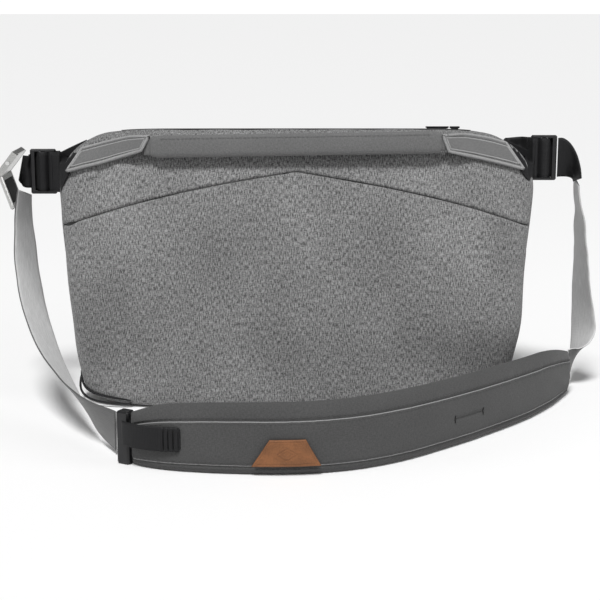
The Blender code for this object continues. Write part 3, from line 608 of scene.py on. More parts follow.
def stitch_row(name, path, look, body, length=0.0030, gap=0.0012, radius=0.00032, lift=Vector((0, 0, 0))):
    """A row of sewn stitches along a path: each dips into the cloth at its ends."""
    shape = bmesh.new()
    stops = walk([point + lift for point in path], length + gap)
    sides = 6
    for a, b in zip(stops, stops[1:]):
        way = b - a
        if way.length < 1e-5:
            continue
        way = way * (length / way.length)
        side = way.cross(Vector((0, 0, 1)))
        side = (side if side.length > 1e-6 else way.cross(Vector((0, 1, 0)))).normalized()
        up = side.cross(way).normalized()
        rings = []
        for part, size in ((0.0, 0.35), (0.25, 1.0), (0.75, 1.0), (1.0, 0.35)):
            ring = []
            for k in range(sides):
                angle = math.tau * k / sides
                offset = (side * math.cos(angle) + up * math.sin(angle)) * radius * size
                ring.append(shape.verts.new(a + way * part + offset))
            rings.append(ring)
        for low, high in zip(rings, rings[1:]):
            for k in range(sides):
                shape.faces.new((low[k], low[(k + 1) % sides], high[(k + 1) % sides], high[k]))
        shape.faces.new(rings[0][::-1])
        shape.faces.new(rings[-1])
    bmesh.ops.recalc_face_normals(shape, faces=shape.faces)
    uv = shape.loops.layers.uv.new("weave")
    for face in shape.faces:
        for loop in face.loops:
            loop[uv].uv = (loop.vert.co.x + loop.vert.co.y, loop.vert.co.z)
    mesh = bpy.data.meshes.new(name)
    shape.to_mesh(mesh)
    shape.free()
    return piece(name, mesh, look, body)


# ---- the body's surface ----


def smooth_row(rows, v):
    v = min(max(v, 0.0), len(rows) - 1.0)
    i = min(int(v), len(rows) - 2)
    t = v - i
    a, b, c, d = (rows[min(max(k, 0), len(rows) - 1)] for k in (i - 1, i, i + 1, i + 2))
    return [
        x + 0.5 * t * (y - w + t * (2 * w - 5 * x + 4 * y - z + t * (3 * (x - y) + z - w)))
        for w, x, y, z in zip(a, b, c, d)
    ]


def place_on(section, across, along):
    z_front, z_rear, half_width, front, rear, _, droop = section
    y = (front + rear) / 2 + (rear - front) / 2 * along
    z = (z_front + z_rear) / 2 + (z_rear - z_front) / 2 * along - droop * abs(across) ** 12
    return Vector((half_width * across, y, z))


def outer(p, v):
    section = smooth_row(SECTIONS, v)
    power = section[5]
    side = int(math.floor(p)) % 4
    corner = 0.5 ** (1 / power)
    run = corner * (2 * (p - math.floor(p)) - 1)
    reach = (1 - abs(run) ** power) ** (1 / power)
    across, along = ((run, -reach), (reach, run), (-run, reach), (-reach, -run))[side]
    return place_on(section, across, along)


def outward(p, v):
    low, high = max(v - 0.05, 0.0), min(v + 0.05, RIM_V)
    return (outer(p + 0.01, v) - outer(p - 0.01, v)).cross(outer(p, high) - outer(p, low)).normalized()


def skin(p, v, depth=0.0):
    return outer(p, v) - outward(p, v) * depth


def height_v(p, z):
    low, high = 0.0, float(RIM_V)
    for _ in range(26):
        middle = (low + high) / 2
        if outer(p, middle).z < z:
            low = middle
        else:
            high = middle
    return (low + high) / 2


def seam_v(p):
    x = abs(outer(p, 6.5).x)
    return height_v(p, SEAM_TOP - SEAM_FALL[0] * x - SEAM_FALL[1] * x**3)


def front_at(x, v):
    section = smooth_row(SECTIONS, v)
    across = max(-0.9999, min(0.9999, x / section[2]))
    return place_on(section, across, -((1 - abs(across) ** section[5]) ** (1 / section[5])))


def front_point(x, z, lift=0.0):
    """A point of the front at x and z, moved outwards by lift."""
    low, high = 0.0, float(RIM_V)
    for _ in range(26):
        middle = (low + high) / 2
        if front_at(x, middle).z < z:
            low = middle
        else:
            high = middle
    slope = front_at(x, min(low + 0.05, RIM_V)) - front_at(x, max(low - 0.05, 0))
    beside = front_at(x + 0.002, low) - front_at(x - 0.002, low)
    return front_at(x, low) + beside.cross(slope).normalized() * lift


# Soft creases of the front: start and end as (x, z), half width, depth (a ridge where it is negative)
CREASES = (
    ((-0.176, 0.222), (-0.204, 0.184), 0.0065, 0.0030),
    ((-0.160, 0.222), (-0.196, 0.178), 0.0060, -0.0020),
    ((-0.148, 0.224), (-0.184, 0.186), 0.0055, 0.0013),
    ((-0.206, 0.212), (-0.214, 0.150), 0.0070, 0.0020),
    ((0.178, 0.219), (0.203, 0.184), 0.0065, 0.0028),
    ((0.162, 0.220), (0.196, 0.178), 0.0060, -0.0020),
    ((0.150, 0.222), (0.184, 0.190), 0.0055, 0.0012),
    ((0.208, 0.208), (0.216, 0.150), 0.0070, 0.0018),
    ((-0.010, 0.219), (-0.012, 0.206), 0.0028, 0.0011),
    ((-0.060, 0.202), (-0.020, 0.150), 0.0160, -0.0008),
    ((0.080, 0.196), (0.150, 0.090), 0.0200, -0.0010),
    ((-0.150, 0.120), (-0.080, 0.060), 0.0220, 0.0009),
    ((0.020, 0.110), (0.110, 0.050), 0.0240, 0.0009),
)


def relief(point, p, v):
    """How far the cloth stands out of the plain loft: slack, creases and the folds of the ends."""
    x, y, z = point
    out = 0.0011 * noise.noise(Vector((x * 13, y * 13 + 4.0, z * 11)))
    out += 0.0006 * noise.noise(Vector((x * 34 + 7.0, y * 34, z * 24)))
    face = p % 4
    if face < 1.2 or face > 3.8:
        lower = min(max((0.205 - z) / 0.04, 0.0), 1.0)
        out += lower * (0.0008 + 0.0022 * noise.noise(Vector((x * 15 + 3.0, 2.0, z * 17 + x * 6))))
        for (x0, z0), (x1, z1), width, depth in CREASES:
            dx, dz = x1 - x0, z1 - z0
            t = ((x - x0) * dx + (z - z0) * dz) / (dx * dx + dz * dz)
            part = min(max(t, 0.0), 1.0)
            away = math.hypot(x - x0 - part * dx, z - z0 - part * dz) / width
            out -= depth * math.exp(-away * away) * (0.55 + 0.45 * math.sin(math.pi * min(max(t, 0.0), 1.0)))
    if 1.2 < face < 1.8 or 3.2 < face < 3.8:
        # the ends fold inwards along their middle, more towards the top
        middle = (face % 2) - 1.5
        out -= 0.0030 * math.exp(-((middle / 0.10) ** 2)) * min(max((v - 3.5) / 4.0, 0.0), 1.0)
        out += 0.0010 * math.exp(-(((abs(middle) - 0.20) / 0.07) ** 2)) * min(max((v - 3.0) / 4.0, 0.0), 1.0)
    if 1.9 < face < 3.1:
        out -= 0.0008 * math.exp(-(((v - 4.0) / 1.3) ** 2))
    return out


ROLL_WIDTH = 0.0026
ROLL_DEPTH = 0.0022


def panel(name, places, levels, replaces, rolls="lrbt", depth=0.0, thickness=SKIN, look=None, body="bag"):
    """Cloth over part of the body. Its edges named in rolls turn inwards into their seams."""
    columns = []
    for p in places:
        heights = levels(p) if callable(levels) else levels
        columns.append([(p, v, outer(p, v), outward(p, v)) for v in heights])
    rows = []
    top = len(columns[0]) - 1
    side = len(places) - 1
    for r in range(top + 1):
        row = []
        for column in columns:
            p, v, here, out = column[r]
            edges = []
            for letter, corner in (
                ("l", columns[0][r]), ("r", columns[side][r]), ("b", column[0]), ("t", column[top])
            ):
                if letter in rolls:
                    edges.append((here - corner[2]).length)
            inward = 0.0
            if edges:
                near = max(0.0, 1 - min(edges) / ROLL_WIDTH)
                inward = ROLL_DEPTH * near * near
            row.append(here + out * (relief(here, p, v) - inward - depth))
        rows.append(row)
    return piece(name, grid_mesh(name, rows, thickness), look or HEATHER, body, replaces)


def between(first, last, count):
    return [first + (last - first) * k / (count - 1) for k in range(count)]


def with_edges(first, last, count, edge):
    """Evenly spread values with three close ones at each end, so that a rolled edge is smooth."""
    inner = between(first + edge, last - edge, count)
    return [first, first + edge * 0.33, first + edge * 0.66, *inner, last - edge * 0.66, last - edge * 0.33, last]


SEAM_GAP = 0.0035


def make_body():
    def below(p):
        return with_edges(0.0, seam_v(p) - SEAM_GAP, 66, 0.09)

    def above(p):
        return with_edges(seam_v(p) + SEAM_GAP, float(RIM_V), 26, 0.09)

    whole = with_edges(0.0, float(RIM_V), 76, 0.09)
    panel("front_fabric", with_edges(-0.248, 1.248, 190, 0.006), below, "front_panel")
    panel("yoke_fabric", with_edges(-0.248, 1.248, 190, 0.006), above, "front_yoke")
    panel("side_fabric_right", with_edges(1.252, 1.748, 34, 0.012), whole, "side_panel_right")
    panel("rear_fabric", with_edges(1.752, 3.248, 190, 0.006), whole, "rear_panel")
    panel("side_fabric_left", with_edges(3.252, 3.748, 34, 0.012), whole, "side_panel_left")
    # the joint under each seam, so that no light shows between the panels
    rows = []
    for step in between(-0.12, 0.12, 5):
        rows.append([skin(p, seam_v(p) + step, 0.0019) for p in between(-0.235, 1.235, 120)])
    piece("v_seam_tape", grid_mesh("v_seam_tape", rows, 0.0006), DARK_THREAD, "bag")
    for name, at in (("seam_tape_a", 1.25), ("seam_tape_b", 1.75), ("seam_tape_c", 3.25), ("seam_tape_d", 3.75)):
        rows = [[skin(at + step, v, 0.0019) for step in between(-0.03, 0.03, 5)] for v in between(0.0, 10.0, 60)]
        piece(name, grid_mesh(name, rows, 0.0006), DARK_THREAD, "bag")


def base_outline(half_width, half_depth, z, count=96):
    """A squarish ring, anticlockwise from above."""
    ring = []
    for k in range(count):
        p = 4 * k / count
        at = outer(p, 3)
        ring.append(Vector((at.x / SECTIONS[3][2] * half_width, at.y / SECTIONS[3][4] * half_depth, z)))
    return ring


def disc_mesh(name, rings):
    """Closed solid from nested rings, the first and the last closed by a face."""
    mesh = bpy.data.meshes.new(name)
    count = len(rings[0])
    faces = [tuple(range(count)), tuple((len(rings) - 1) * count + k for k in range(count))]
    for r in range(len(rings) - 1):
        for k in range(count):
            d = (k + 1) % count
            faces.append((r * count + k, r * count + d, (r + 1) * count + d, (r + 1) * count + k))
    mesh.from_pydata([tuple(point) for ring in rings for point in ring], [], faces)
    uv = mesh.uv_layers.new(name="weave")
    for loop in mesh.loops:
        at = mesh.vertices[loop.vertex_index].co
        uv.data[loop.index].uv = (at.x, at.y)
    face_outwards(mesh)
    return mesh


def make_base():
    w, d = 0.1755, 0.0635
    rings = [base_outline(w * s, d * s, z) for s, z in ((0.80, 0.0006), (0.97, 0.0), (0.995, 0.0002), (1.0, 0.0008))]
    rings += [base_outline(w * s, d * s, z) for s, z in ((0.995, 0.0013), (0.97, 0.0014), (0.80, 0.0014))]
    piece("base_fabric", disc_mesh("base_fabric", rings), HEATHER, "bag", "base_panel")
    w, d = 0.1730, 0.0610
    rings = [base_outline(w * s, d * s, z) for s, z in ((0.985, 0.0018), (1.0, 0.0023), (1.0, 0.0035), (0.985, 0.0040))]
    piece("base_board", disc_mesh("base_board", rings), BOARD, "bag", "base_stiffener")
    w, d = 0.1810, 0.0640
    steps = ((0.96, 0.0045), (0.99, 0.0055), (1.0, 0.0075), (0.99, 0.0095), (0.96, 0.0105))
    rings = [base_outline(w * s, d * s, z) for s, z in steps]
    pad = piece("base_padding", disc_mesh("base_padding", rings), FOAM, "bag", "foam_base")
    # piping round the edge of the base
    path = [skin(p, 0.25, -0.0006) + Vector((0, 0, 0.0012)) for p in between(0, 4, 161)[:-1]]
    cord_piece("base_piping", path, 0.0013, PIPING_AND_SEAM_HIGHLIGHT, "bag", ring=True)


def make_padding():
    """Foam walls between the skin and the liner, with eased edges."""
    levels = between(2.2, 8.6, 26)
    for name, node, first, last, top in (
        ("padding_front", "foam_front", -0.25, 1.25, 9.3),
        ("padding_right", "foam_side_right", 1.25, 1.75, 8.6),
        ("padding_rear", "foam_rear", 1.75, 3.25, 8.6),
        ("padding_left", "foam_side_left", 3.25, 3.75, 8.6),
    ):
        places = between(first + 0.014, last - 0.014, 70 if last - first > 1 else 20)
        heights = [2.2 + (v - 2.2) * (top - 2.2) / 6.4 for v in levels]
        rows = [[skin(p, v, 0.0034) for p in places] for v in heights]
        mesh = with_modifier(grid_mesh(name, rows, 0.0050), "BEVEL", width=0.0016, segments=2, limit_method="ANGLE")
        piece(name, mesh, FOAM, "bag", node)


def make_liner():
    """Brushed lining: a tub whose walls run up to the zip."""
    count = 200
    around = [4 * k / count for k in range(count + 1)]
    rows = []
    edge = [skin(p, 2.2, 0.0127) for p in around]
    for part in (0.02, 0.25, 0.5, 0.75, 0.93):
        rows.append([Vector((at.x * part, at.y * part, 0.0130 + 0.0006 * noise.noise(at * part * 25))) for at in edge])
    for v in between(2.45, 8.4, 40):
        rows.append([skin(p, v, 0.0109 + 0.0005 * noise.noise(Vector((p * 7, v * 2, 0)))) for p in around])
    for v, depth in ((8.7, 0.0098), (9.0, 0.0070), (9.3, 0.0040), (9.6, 0.0026), (9.85, 0.0022)):
        rows.append([skin(p, v, depth) for p in around])
    piece("liner_fabric", grid_mesh("liner_fabric", rows, 0.0008), LINER, "bag", "liner_tub")


# ---- lid and zip ----


def top_point(x, y):
    section = SECTIONS[RIM_V]
    half_width, front, rear = section[2:5]
    along = (y - (front + rear) / 2) / ((rear - front) / 2)
    rise = LID_CROWN * max(0.0, 1 - along**2) * (1 - (x / half_width) ** 2)
    return place_on(section, x / half_width, along) + Vector((0, 0, rise))


def rim_y(x, side):
    half_width, front, rear, power = SECTIONS[RIM_V][2:6]
    return (front + rear) / 2 + side * (rear - front) / 2 * (1 - abs(x / half_width) ** power) ** (1 / power)


# The zip, front to back: how far each strip starts and ends behind the front rim
TAPE = (0.0006, 0.0040)
COIL = (0.0042, 0.0057)
COIL_LID = (0.0061, 0.0076)
TAPE_LID = (0.0078, 0.0112)
COIL_PITCH = 0.0015
LID_START = TAPE_LID[1] + 0.0003


def strip_rows(lines, half, count, lift=0.0):
    """Rows along the front rim, each a distance behind it."""
    return [
        [top_point(x, rim_y(x, -1) + line) + Vector((0, 0, lift)) for x in between(-half, half, count)]
        for line in lines
    ]


def zip_teeth(name, places, size, lean, sides, body, replaces=None):
    """Coil teeth, one at each (point, across, up, along), of half size (across, along, up)."""
    shape = bmesh.new()
    for centre, across, up, along in places:
        rings = []
        for part, round_size in ((-1.0, 0.45), (-0.7, 0.95), (0.7, 0.95), (1.0, 0.45)):
            middle = centre + across * part * size[0] + along * lean * part
            ring = []
            for j in range(sides):
                angle = math.tau * j / sides
                offset = along * math.cos(angle) * size[1] + up * math.sin(angle) * size[2]
                ring.append(shape.verts.new(middle + offset * round_size))
            rings.append(ring)
        for low, high in zip(rings, rings[1:]):
            for j in range(sides):
                shape.faces.new((low[j], low[(j + 1) % sides], high[(j + 1) % sides], high[j]))
        shape.faces.new(rings[0][::-1])
        shape.faces.new(rings[-1])
    bmesh.ops.recalc_face_normals(shape, faces=shape.faces)
    mesh = bpy.data.meshes.new(name)
    shape.to_mesh(mesh)
    shape.free()
    return piece(name, mesh, PLASTIC, body, replaces)


def on_zip(line):
    def place(s):
        y = rim_y(s, -1) + line
        up = (top_point(s, y + 0.002) - top_point(s, y)).cross(top_point(s - 0.002, y) - top_point(s, y)).normalized()
        return top_point(s, y) + up * -0.0002, Vector((0, 1, 0)), up if up.z > 0 else -up, Vector((1, 0, 0))

    return place


def make_zip():
    piece("zip_tape_a", grid_mesh("zip_tape_a", strip_rows(between(*TAPE, 4), LID_HALF, 60), 0.0008), PAD_CLOTH,
          "bag", "zip_tape_front")
    piece("zip_tape_b", grid_mesh("zip_tape_b", strip_rows(between(*TAPE_LID, 4), LID_HALF, 60), 0.0008), BLACK_WEB,
          "lid", "zip_tape_lid")
    for name, coil, lean, body, replaces in (
        ("zip_teeth_a", COIL, 0.0002, "bag", "zip_coil_front"),
        ("zip_teeth_b", COIL_LID, -0.0002, "lid", "zip_coil_lid"),
    ):
        place = on_zip((coil[0] + coil[1]) / 2)
        places = [place(-LID_HALF + COIL_PITCH * (k + 0.5)) for k in range(int(2 * LID_HALF / COIL_PITCH))]
        zip_teeth(name, places, ((coil[1] - coil[0]) / 2, COIL_PITCH * 0.40, 0.0007), lean, 8, body, replaces)


def lid_rows(start, end, depth, half, count, steps, puff=0.0):
    rows = []
    for k in range(steps):
        part = k / (steps - 1)
        row = []
        for x in between(-half, half, count):
            first, last = rim_y(x, -1) + start, rim_y(x, 1) - end
            edge = min(part, 1 - part) * (last - first)
            edge = min(edge, half - abs(x))
            swell = puff * (1 - math.exp(-((edge / 0.008) ** 2)))
            slack = 0.0006 * noise.noise(Vector((x * 30, part * 4, 2.0))) * (1 - math.exp(-((edge / 0.012) ** 2)))
            row.append(top_point(x, first + (last - first) * part) + Vector((0, 0, swell + slack - depth)))
        rows.append(row)
    return rows


def make_lid():
    rows = lid_rows(LID_START, 0.0022, 0.0004, LID_HALF, 110, 26, 0.0012)
    piece("lid_fabric", grid_mesh("lid_fabric", rows, SKIN), HEATHER, "lid", "lid_panel")
    rows = lid_rows(LID_START + 0.002, 0.006, 0.0021, LID_HALF - 0.004, 50, 12)
    mesh = grid_mesh("lid_padding", rows, 0.0030)
    mesh = with_modifier(mesh, "BEVEL", width=0.0009, segments=2, limit_method="ANGLE")
    piece("lid_padding", mesh, FOAM, "lid", "lid_foam")
    rows = lid_rows(LID_START + 0.0012, 0.005, 0.0056, LID_HALF - 0.003, 80, 20)
    piece("lid_lining", grid_mesh("lid_lining", rows, 0.0008), LINER, "lid", "lid_liner")
    path = strip_rows([LID_START + 0.0022], LID_HALF - 0.002, 90, 0.0002)[0]
    stitch_row("lid_stitching_a", path, THREAD, "lid")

    for name, node, side in (("end_gusset_left", "gusset_left", -1), ("end_gusset_right", "gusset_right", 1)):
        rows = []
        for part in between(0.02, 0.98, 16):
            row = []
            for x in between(LID_HALF + 0.0006, 0.1945, 18):
                first, last = rim_y(x, -1) + 0.0012, rim_y(x, 1) - 0.0012
                dip = 0.0016 * math.sin(math.pi * min(max((x - LID_HALF) / 0.03, 0), 1)) * math.sin(math.pi * part)
                row.append(top_point(side * x, first + (last - first) * part) - Vector((0, 0, dip)))
            rows.append(row if side > 0 else row[::-1])
        piece(name, grid_mesh(name, rows, SKIN), HEATHER, "bag", node)


def rounded_cad(node, look, width, segments=2, angle=35):
    """A CAD node whose shape is right: eased edges and a better material."""
    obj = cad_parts[node]
    obj.data.materials.clear()
    obj.data.materials.append(look)
    obj.data.shade_smooth()
    if width:
        edges = obj.modifiers.new("eased_edges", "BEVEL")
        edges.width = width
        edges.segments = segments
        edges.limit_method = "ANGLE"
        edges.angle_limit = math.radians(angle)
        edges.harden_normals = True
    return obj


# ---- handle ----

PATCHES = {
    "left": (
        ((-0.2110, 0.2165), (-0.1960, 0.2210), (-0.1815, 0.2245), (-0.1610, 0.2305), (-0.1414, 0.2365)),
        ((-0.1975, 0.2365), (-0.1830, 0.2405), (-0.1680, 0.2440), (-0.1510, 0.2472), (-0.1340, 0.2490)),
    ),
    "right": (
        ((0.1400, 0.2355), (0.1600, 0.2310), (0.1800, 0.2265), (0.1960, 0.2225), (0.2095, 0.2185)),
        ((0.1335, 0.2500), (0.1510, 0.2490), (0.1660, 0.2475), (0.1800, 0.2450), (0.1940, 0.2410)),
    ),
}
PATCH_LIFT = 0.0046
PATCH_LONG, PATCH_DEEP = 0.072, 0.019


def make_patches():
    for side, (lower, upper) in PATCHES.items():
        def spot(s, t, lift):
            x0, z0 = smooth_row(lower, s * 4)
            x1, z1 = smooth_row(upper, s * 4)
            at = front_point(x0 + (x1 - x0) * t, z0 + (z1 - z0) * t, lift)
            inner = s if side == "left" else 1 - s
            near = min(max((inner - 0.62) / 0.38, 0.0), 1.0)
            near = near * near * (3 - 2 * near)
            reach = GRIP_Y - 0.0022 - (lift - PATCH_LIFT)
            return Vector((at.x, at.y + near * min(reach - at.y, 0.0), at.z))

        rows = []
        for t in between(0, 1, 18):
            row = []
            for s in between(0, 1, 56):
                edge = min(min(t, 1 - t) * PATCH_DEEP, min(s, 1 - s) * PATCH_LONG)
                dome = 0.0006 * (1 - math.exp(-((edge / 0.004) ** 2)))
                groove = 0.0009 * math.exp(-(((edge - 0.0028) / 0.0009) ** 2))
                row.append(spot(s, t, PATCH_LIFT + dome - groove))
            rows.append(row)
        name = f"handle_patch_cloth_{side}"
        piece(name, grid_mesh(name, rows, 0.0040), SMOOTH, "bag", f"handle_patch_{side}")
        # rolled edge, an inner roll and one row of stitches
        def round_it(inset, lift, count=34):
            a, b = inset / PATCH_LONG, inset / PATCH_DEEP
            path = [spot(s, b, lift) for s in between(a, 1 - a, count)]
            path += [spot(1 - a, t, lift) for t in between(b, 1 - b, 9)[1:]]
            path += [spot(s, 1 - b, lift) for s in between(1 - a, a, count)[1:]]
            path += [spot(a, t, lift) for t in between(1 - b, b, 9)[1:-1]]
            return path

        for name, inset, sink, radius in (
            ("patch_roll", 0.0006, 0.0004, 0.0014),
            ("patch_inner_roll", 0.0036, 0.0001, 0.0008),
        ):
            path = round_it(inset, PATCH_LIFT - sink)
            cord_piece(f"{name}_{side}", path, radius, PIPING_AND_SEAM_HIGHLIGHT, "bag", ring=True)
        stitch_row(f"patch_stitching_{side}", round_it(0.0022, PATCH_LIFT + 0.0003, 60), THREAD, "bag",
                   0.0024, 0.0010, 0.00030)


def grip_z(x):
    return GRIP_Z + GRIP_SLOPE * x


def grip_frames(stations, depth_half, height_half, seam):
    """Flattened padded tube along X: stations of (x, y, share of the full size)."""
    frames = []
    for x, y, share in stations:
        ring = []
        for k in range(28):
            angle = math.tau * k / 28
            c, s = math.cos(angle), math.sin(angle)
            across = math.copysign(abs(c) ** 0.55, c) * depth_half * share
            up = math.copysign(abs(s) ** 0.60, s) * height_half * (0.55 + 0.45 * share)
            pinch = seam * math.exp(-(((abs(s) - 0.98) / 0.05) ** 2)) * share
            ring.append((across * (1 - pinch), up))
        wave = 0.0002 * noise.noise(Vector((x * 40, 0, 3)))
        frames.append((Vector((x, y + wave, grip_z(x))), Vector((0, 1, 0)), Vector((0, 0, 1)), ring))
    return frames


def make_handle():
    stations = []
    for x in between(-GRIP_HALF, GRIP_HALF, 90):
        end = (GRIP_HALF - abs(x)) / 0.010
        share = 1.0 if end >= 1 else 0.62 + 0.38 * math.sin(math.pi / 2 * max(end, 0.0))
        stations.append((x, GRIP_Y, share))
    frames = grip_frames(stations, 0.0052, 0.0102, 0.25)
    sleeve = piece("handle_sleeve", loft_mesh("handle_sleeve", frames, frames[0][3]), SMOOTH,
                   "grab_handle", "handle_cover")
    end = 0.1395
    stations = [(x, GRIP_Y + 0.0035 * max(0.0, (abs(x) - 0.133) / 0.012), 1.0) for x in between(-end, end, 60)]
    frames = grip_frames(stations, 0.0022, 0.0078, 0.0)
    piece("handle_webbing", loft_mesh("handle_webbing", frames, frames[0][3]), SMOOTH, "grab_handle",
          "handle_core")
    for name, height in (("grip_stitching_top", 0.0078), ("grip_stitching_bottom", -0.0078)):
        path = [Vector((x, GRIP_Y - 0.0052, grip_z(x) + height)) for x in between(-0.124, 0.124, 60)]
        stitch_row(name, path, SMOOTH, "grab_handle", 0.0026, 0.0012, 0.00028)


# ---- webbing and buckles ----


def ribbon_frames(stations, count, width, thickness, cup=None, wobble=0.0):
    """Frames along a ribbon: stations of (middle, direction across)."""
    rows = [(*centre, *across) for centre, across in stations]
    dense = curve_through(rows, count)
    frames = []
    for k, row in enumerate(dense):
        before, after = dense[max(k - 1, 0)], dense[min(k + 1, count - 1)]
        middle, across = Vector(row[:3]), Vector(row[3:]).normalized()
        way = (Vector(after[:3]) - Vector(before[:3])).normalized()
        up = across.cross(way).normalized()
        across = way.cross(up).normalized()
        bow = cup(k / (count - 1)) if cup else 0.0
        lift = wobble * noise.noise(Vector((k * 0.11, width * 100, 1.5)))
        frames.append((middle + up * lift, across, up, flat_profile(width, thickness, 10, bow)))
    return frames


def ribbon_piece(
    name, stations, count, width, look, body, replaces, thickness=WEBBING_THICK, cup=None, wobble=0.0
):
    frames = ribbon_frames(stations, count, width, thickness, cup, wobble)
    return piece(name, loft_mesh(name, frames, frames[0][3]), look, body, replaces)


def loop_round(bar_x, away, z):
    path = []
    for k in range(9):
        angle = math.pi * k / 8
        x, y = bar_x - away * LOOP_RADIUS * math.sin(angle), BUCKLE_Y - LOOP_RADIUS * math.cos(angle)
        path.append(((x, y, z), (0, 0, 1)))
    return path


BUCKLE_WINDOW = 0.0376
# where each tab comes out from under its patch: (x, z) from the bottom edge to the top edge
TAB_ENDS = {
    "left": ((0.2205, 0.1960), (0.2165, 0.2070), (0.2110, 0.2165), (0.2045, 0.2262), (0.1985, 0.2345)),
    "right": ((0.2170, 0.2092), (0.2130, 0.2145), (0.2085, 0.2200), (0.2020, 0.2295), (0.1930, 0.2440)),
}


def ruled_piece(name, upper, lower, look, body, replaces, thickness=WEBBING_THICK):
    """Webbing between two edges, each given as points."""
    a, b = curve_through(upper, 40), curve_through(lower, 40)
    rows = [[Vector(q).lerp(Vector(p), t) for p, q in zip(a, b)] for t in between(0, 1, 14)]
    return piece(name, grid_mesh(name, rows, thickness, offset=0.0), look, body, replaces)


def make_tabs():
    for side, (buckle_x, z), name in ((-1, BUCKLE_LEFT, "left"), (1, BUCKLE_RIGHT, "right")):
        bar_x = buckle_x - side * (BUCKLE_SIZE[0] - BUCKLE_BAR) / 2
        rows = []
        for t in between(0, 1, 16):
            x0, z0 = smooth_row(TAB_ENDS[name], 4 * t)
            z1 = z + (t - 0.5) * BUCKLE_WINDOW
            row = []
            for part in between(0, 1, 22):
                x, height = x0 + (0.2232 - x0) * part, z0 + (z1 - z0) * part
                y = front_point(side * min(x, 0.2165), height, 0.0044).y
                blend = min(max((x - 0.2140) / 0.0092, 0.0), 1.0)
                row.append(Vector((side * x, y + (-0.0180 - y) * blend * blend, height)))
            rows.append(row if side > 0 else row[::-1])
        piece(f"tab_end_{name}", grid_mesh(f"tab_end_{name}", rows, 0.0014), BLACK_WEB, "bag")
        path = [((side * 0.2226, -0.0185, z), (0, 0, 1))]
        path += loop_round(bar_x, -side, z)
        if side > 0:
            path = path[::-1]
        ribbon_piece(f"tab_{name}", path, 50, BUCKLE_WINDOW, BLACK_WEB, "bag", f"tab_webbing_{name}")
        # the strap side of the buckle: webbing over its middle bar
        over = ((0.0128, 0.0030), (0.0080, 0.0030), (0.0051, 0.0), (0.0024, -0.0034), (0.0, -0.0041),
                (-0.0024, -0.0034), (-0.0051, 0.0), (-0.0080, 0.0032), (-0.0120, 0.0072), (-0.0150, 0.0078))
        path = [((buckle_x + side * d, BUCKLE_Y + y, z), (0, 0, 1)) for d, y in over]
        ribbon_piece(f"buckle_webbing_{name}", path, 60, BUCKLE_WINDOW, BLACK_WEB, "bag", ())


def make_links():
    z = BUCKLE_LEFT[1]
    left = [
        ((-0.2515, BUCKLE_Y + 0.003, z), (0, 0, 1)),
        ((-0.2550, BUCKLE_Y + 0.001, z), (0, -0.12, 1)),
        ((-0.2585, BUCKLE_Y + 0.002, z + 0.0015), (0, -0.28, 0.96)),
        ((-0.2612, BUCKLE_Y + 0.003, z + 0.003), (0, -0.40, 0.92)),
    ]
    ribbon_piece("link_left", left, 24, 0.0320, BLACK_WEB, "strap", "link_webbing_left")
    upper = ((0.2478, -0.0080, 0.2464), (0.2530, -0.0085, 0.2462), (0.2590, -0.0105, 0.2415), (0.2640, -0.0150, 0.2320),
             (0.2668, -0.0210, 0.2200), (0.2676, -0.0240, 0.2100))
    lower = ((0.2478, -0.0080, 0.2096), (0.2500, -0.0080, 0.2098), (0.2555, -0.0070, 0.2098), (0.2610, -0.0010, 0.2085),
             (0.2655, 0.0060, 0.2060), (0.2676, 0.0100, 0.2030))
    ruled_piece("link_right", upper, lower, BLACK_WEB, "strap", "link_webbing_right")


def make_straps():
    ribbon_piece("strap_left", STRAP_LEFT, 120, WEBBING, STRAP, "strap", "strap_webbing_left",
                 cup=lambda t: 0.0009 * math.sin(math.pi * t), wobble=0.0010)
    ribbon_piece("strap_right", STRAP_RIGHT, 110, WEBBING, STRAP_TURNED, "strap",
                 "strap_webbing_right", cup=lambda t: -0.0012 * math.sin(math.pi * t), wobble=0.0016)


# ---- shoulder pad ----

PAD_HALF = 0.0068
PAD_SEAMS = (0.53, -0.76)
SLIT_UP = -0.15


def pad_frame(position):
    x, y, half = smooth_row(PAD_ROUTE, position)
    x0, y0, _ = smooth_row(PAD_ROUTE, position - 0.1)
    x1, y1, _ = smooth_row(PAD_ROUTE, position + 0.1)
    out = Vector((y1 - y0, -(x1 - x0), 0)).normalized()
    return Vector((x, y, half + 0.0002)), out, half


def pad_reach(up, position, side):
    """Half thickness of the pad at a height (-1 to 1), with its sewn seams."""
    last = len(PAD_ROUTE) - 1
    ends = min(position, last - position) / 0.55
    taper = 1.0 if ends >= 1 else 0.42 + 0.58 * math.sin(math.pi / 2 * max(ends, 0.0))
    body = PAD_HALF * (0.16 + 0.84 * (1 - abs(up) ** 3.4) ** 0.6)
    for seam in PAD_SEAMS:
        body -= 0.0013 * math.exp(-(((up - seam) / 0.045) ** 2))
        pucker = noise.noise(Vector((position * 9, seam * 3, side)))
        body += 0.0005 * pucker * math.exp(-(((up - seam) / 0.20) ** 2))
    if side > 0:
        along = (position - 7.75) / 0.42
        body -= 0.0016 * math.exp(-(((up - SLIT_UP) / 0.035) ** 2)) * math.exp(-(along**6))
    body += 0.0004 * noise.noise(Vector((position * 1.6, up * 2, side * 5)))
    return max(body, 0.0006) * taper


def pad_point(position, up, lift):
    """A point of the pad's outer face at a height (-1 to 1), moved outwards by lift."""
    middle, out, half = pad_frame(position)
    return middle + out * (pad_reach(up, position, 1) + lift) + Vector((0, 0, up * half))


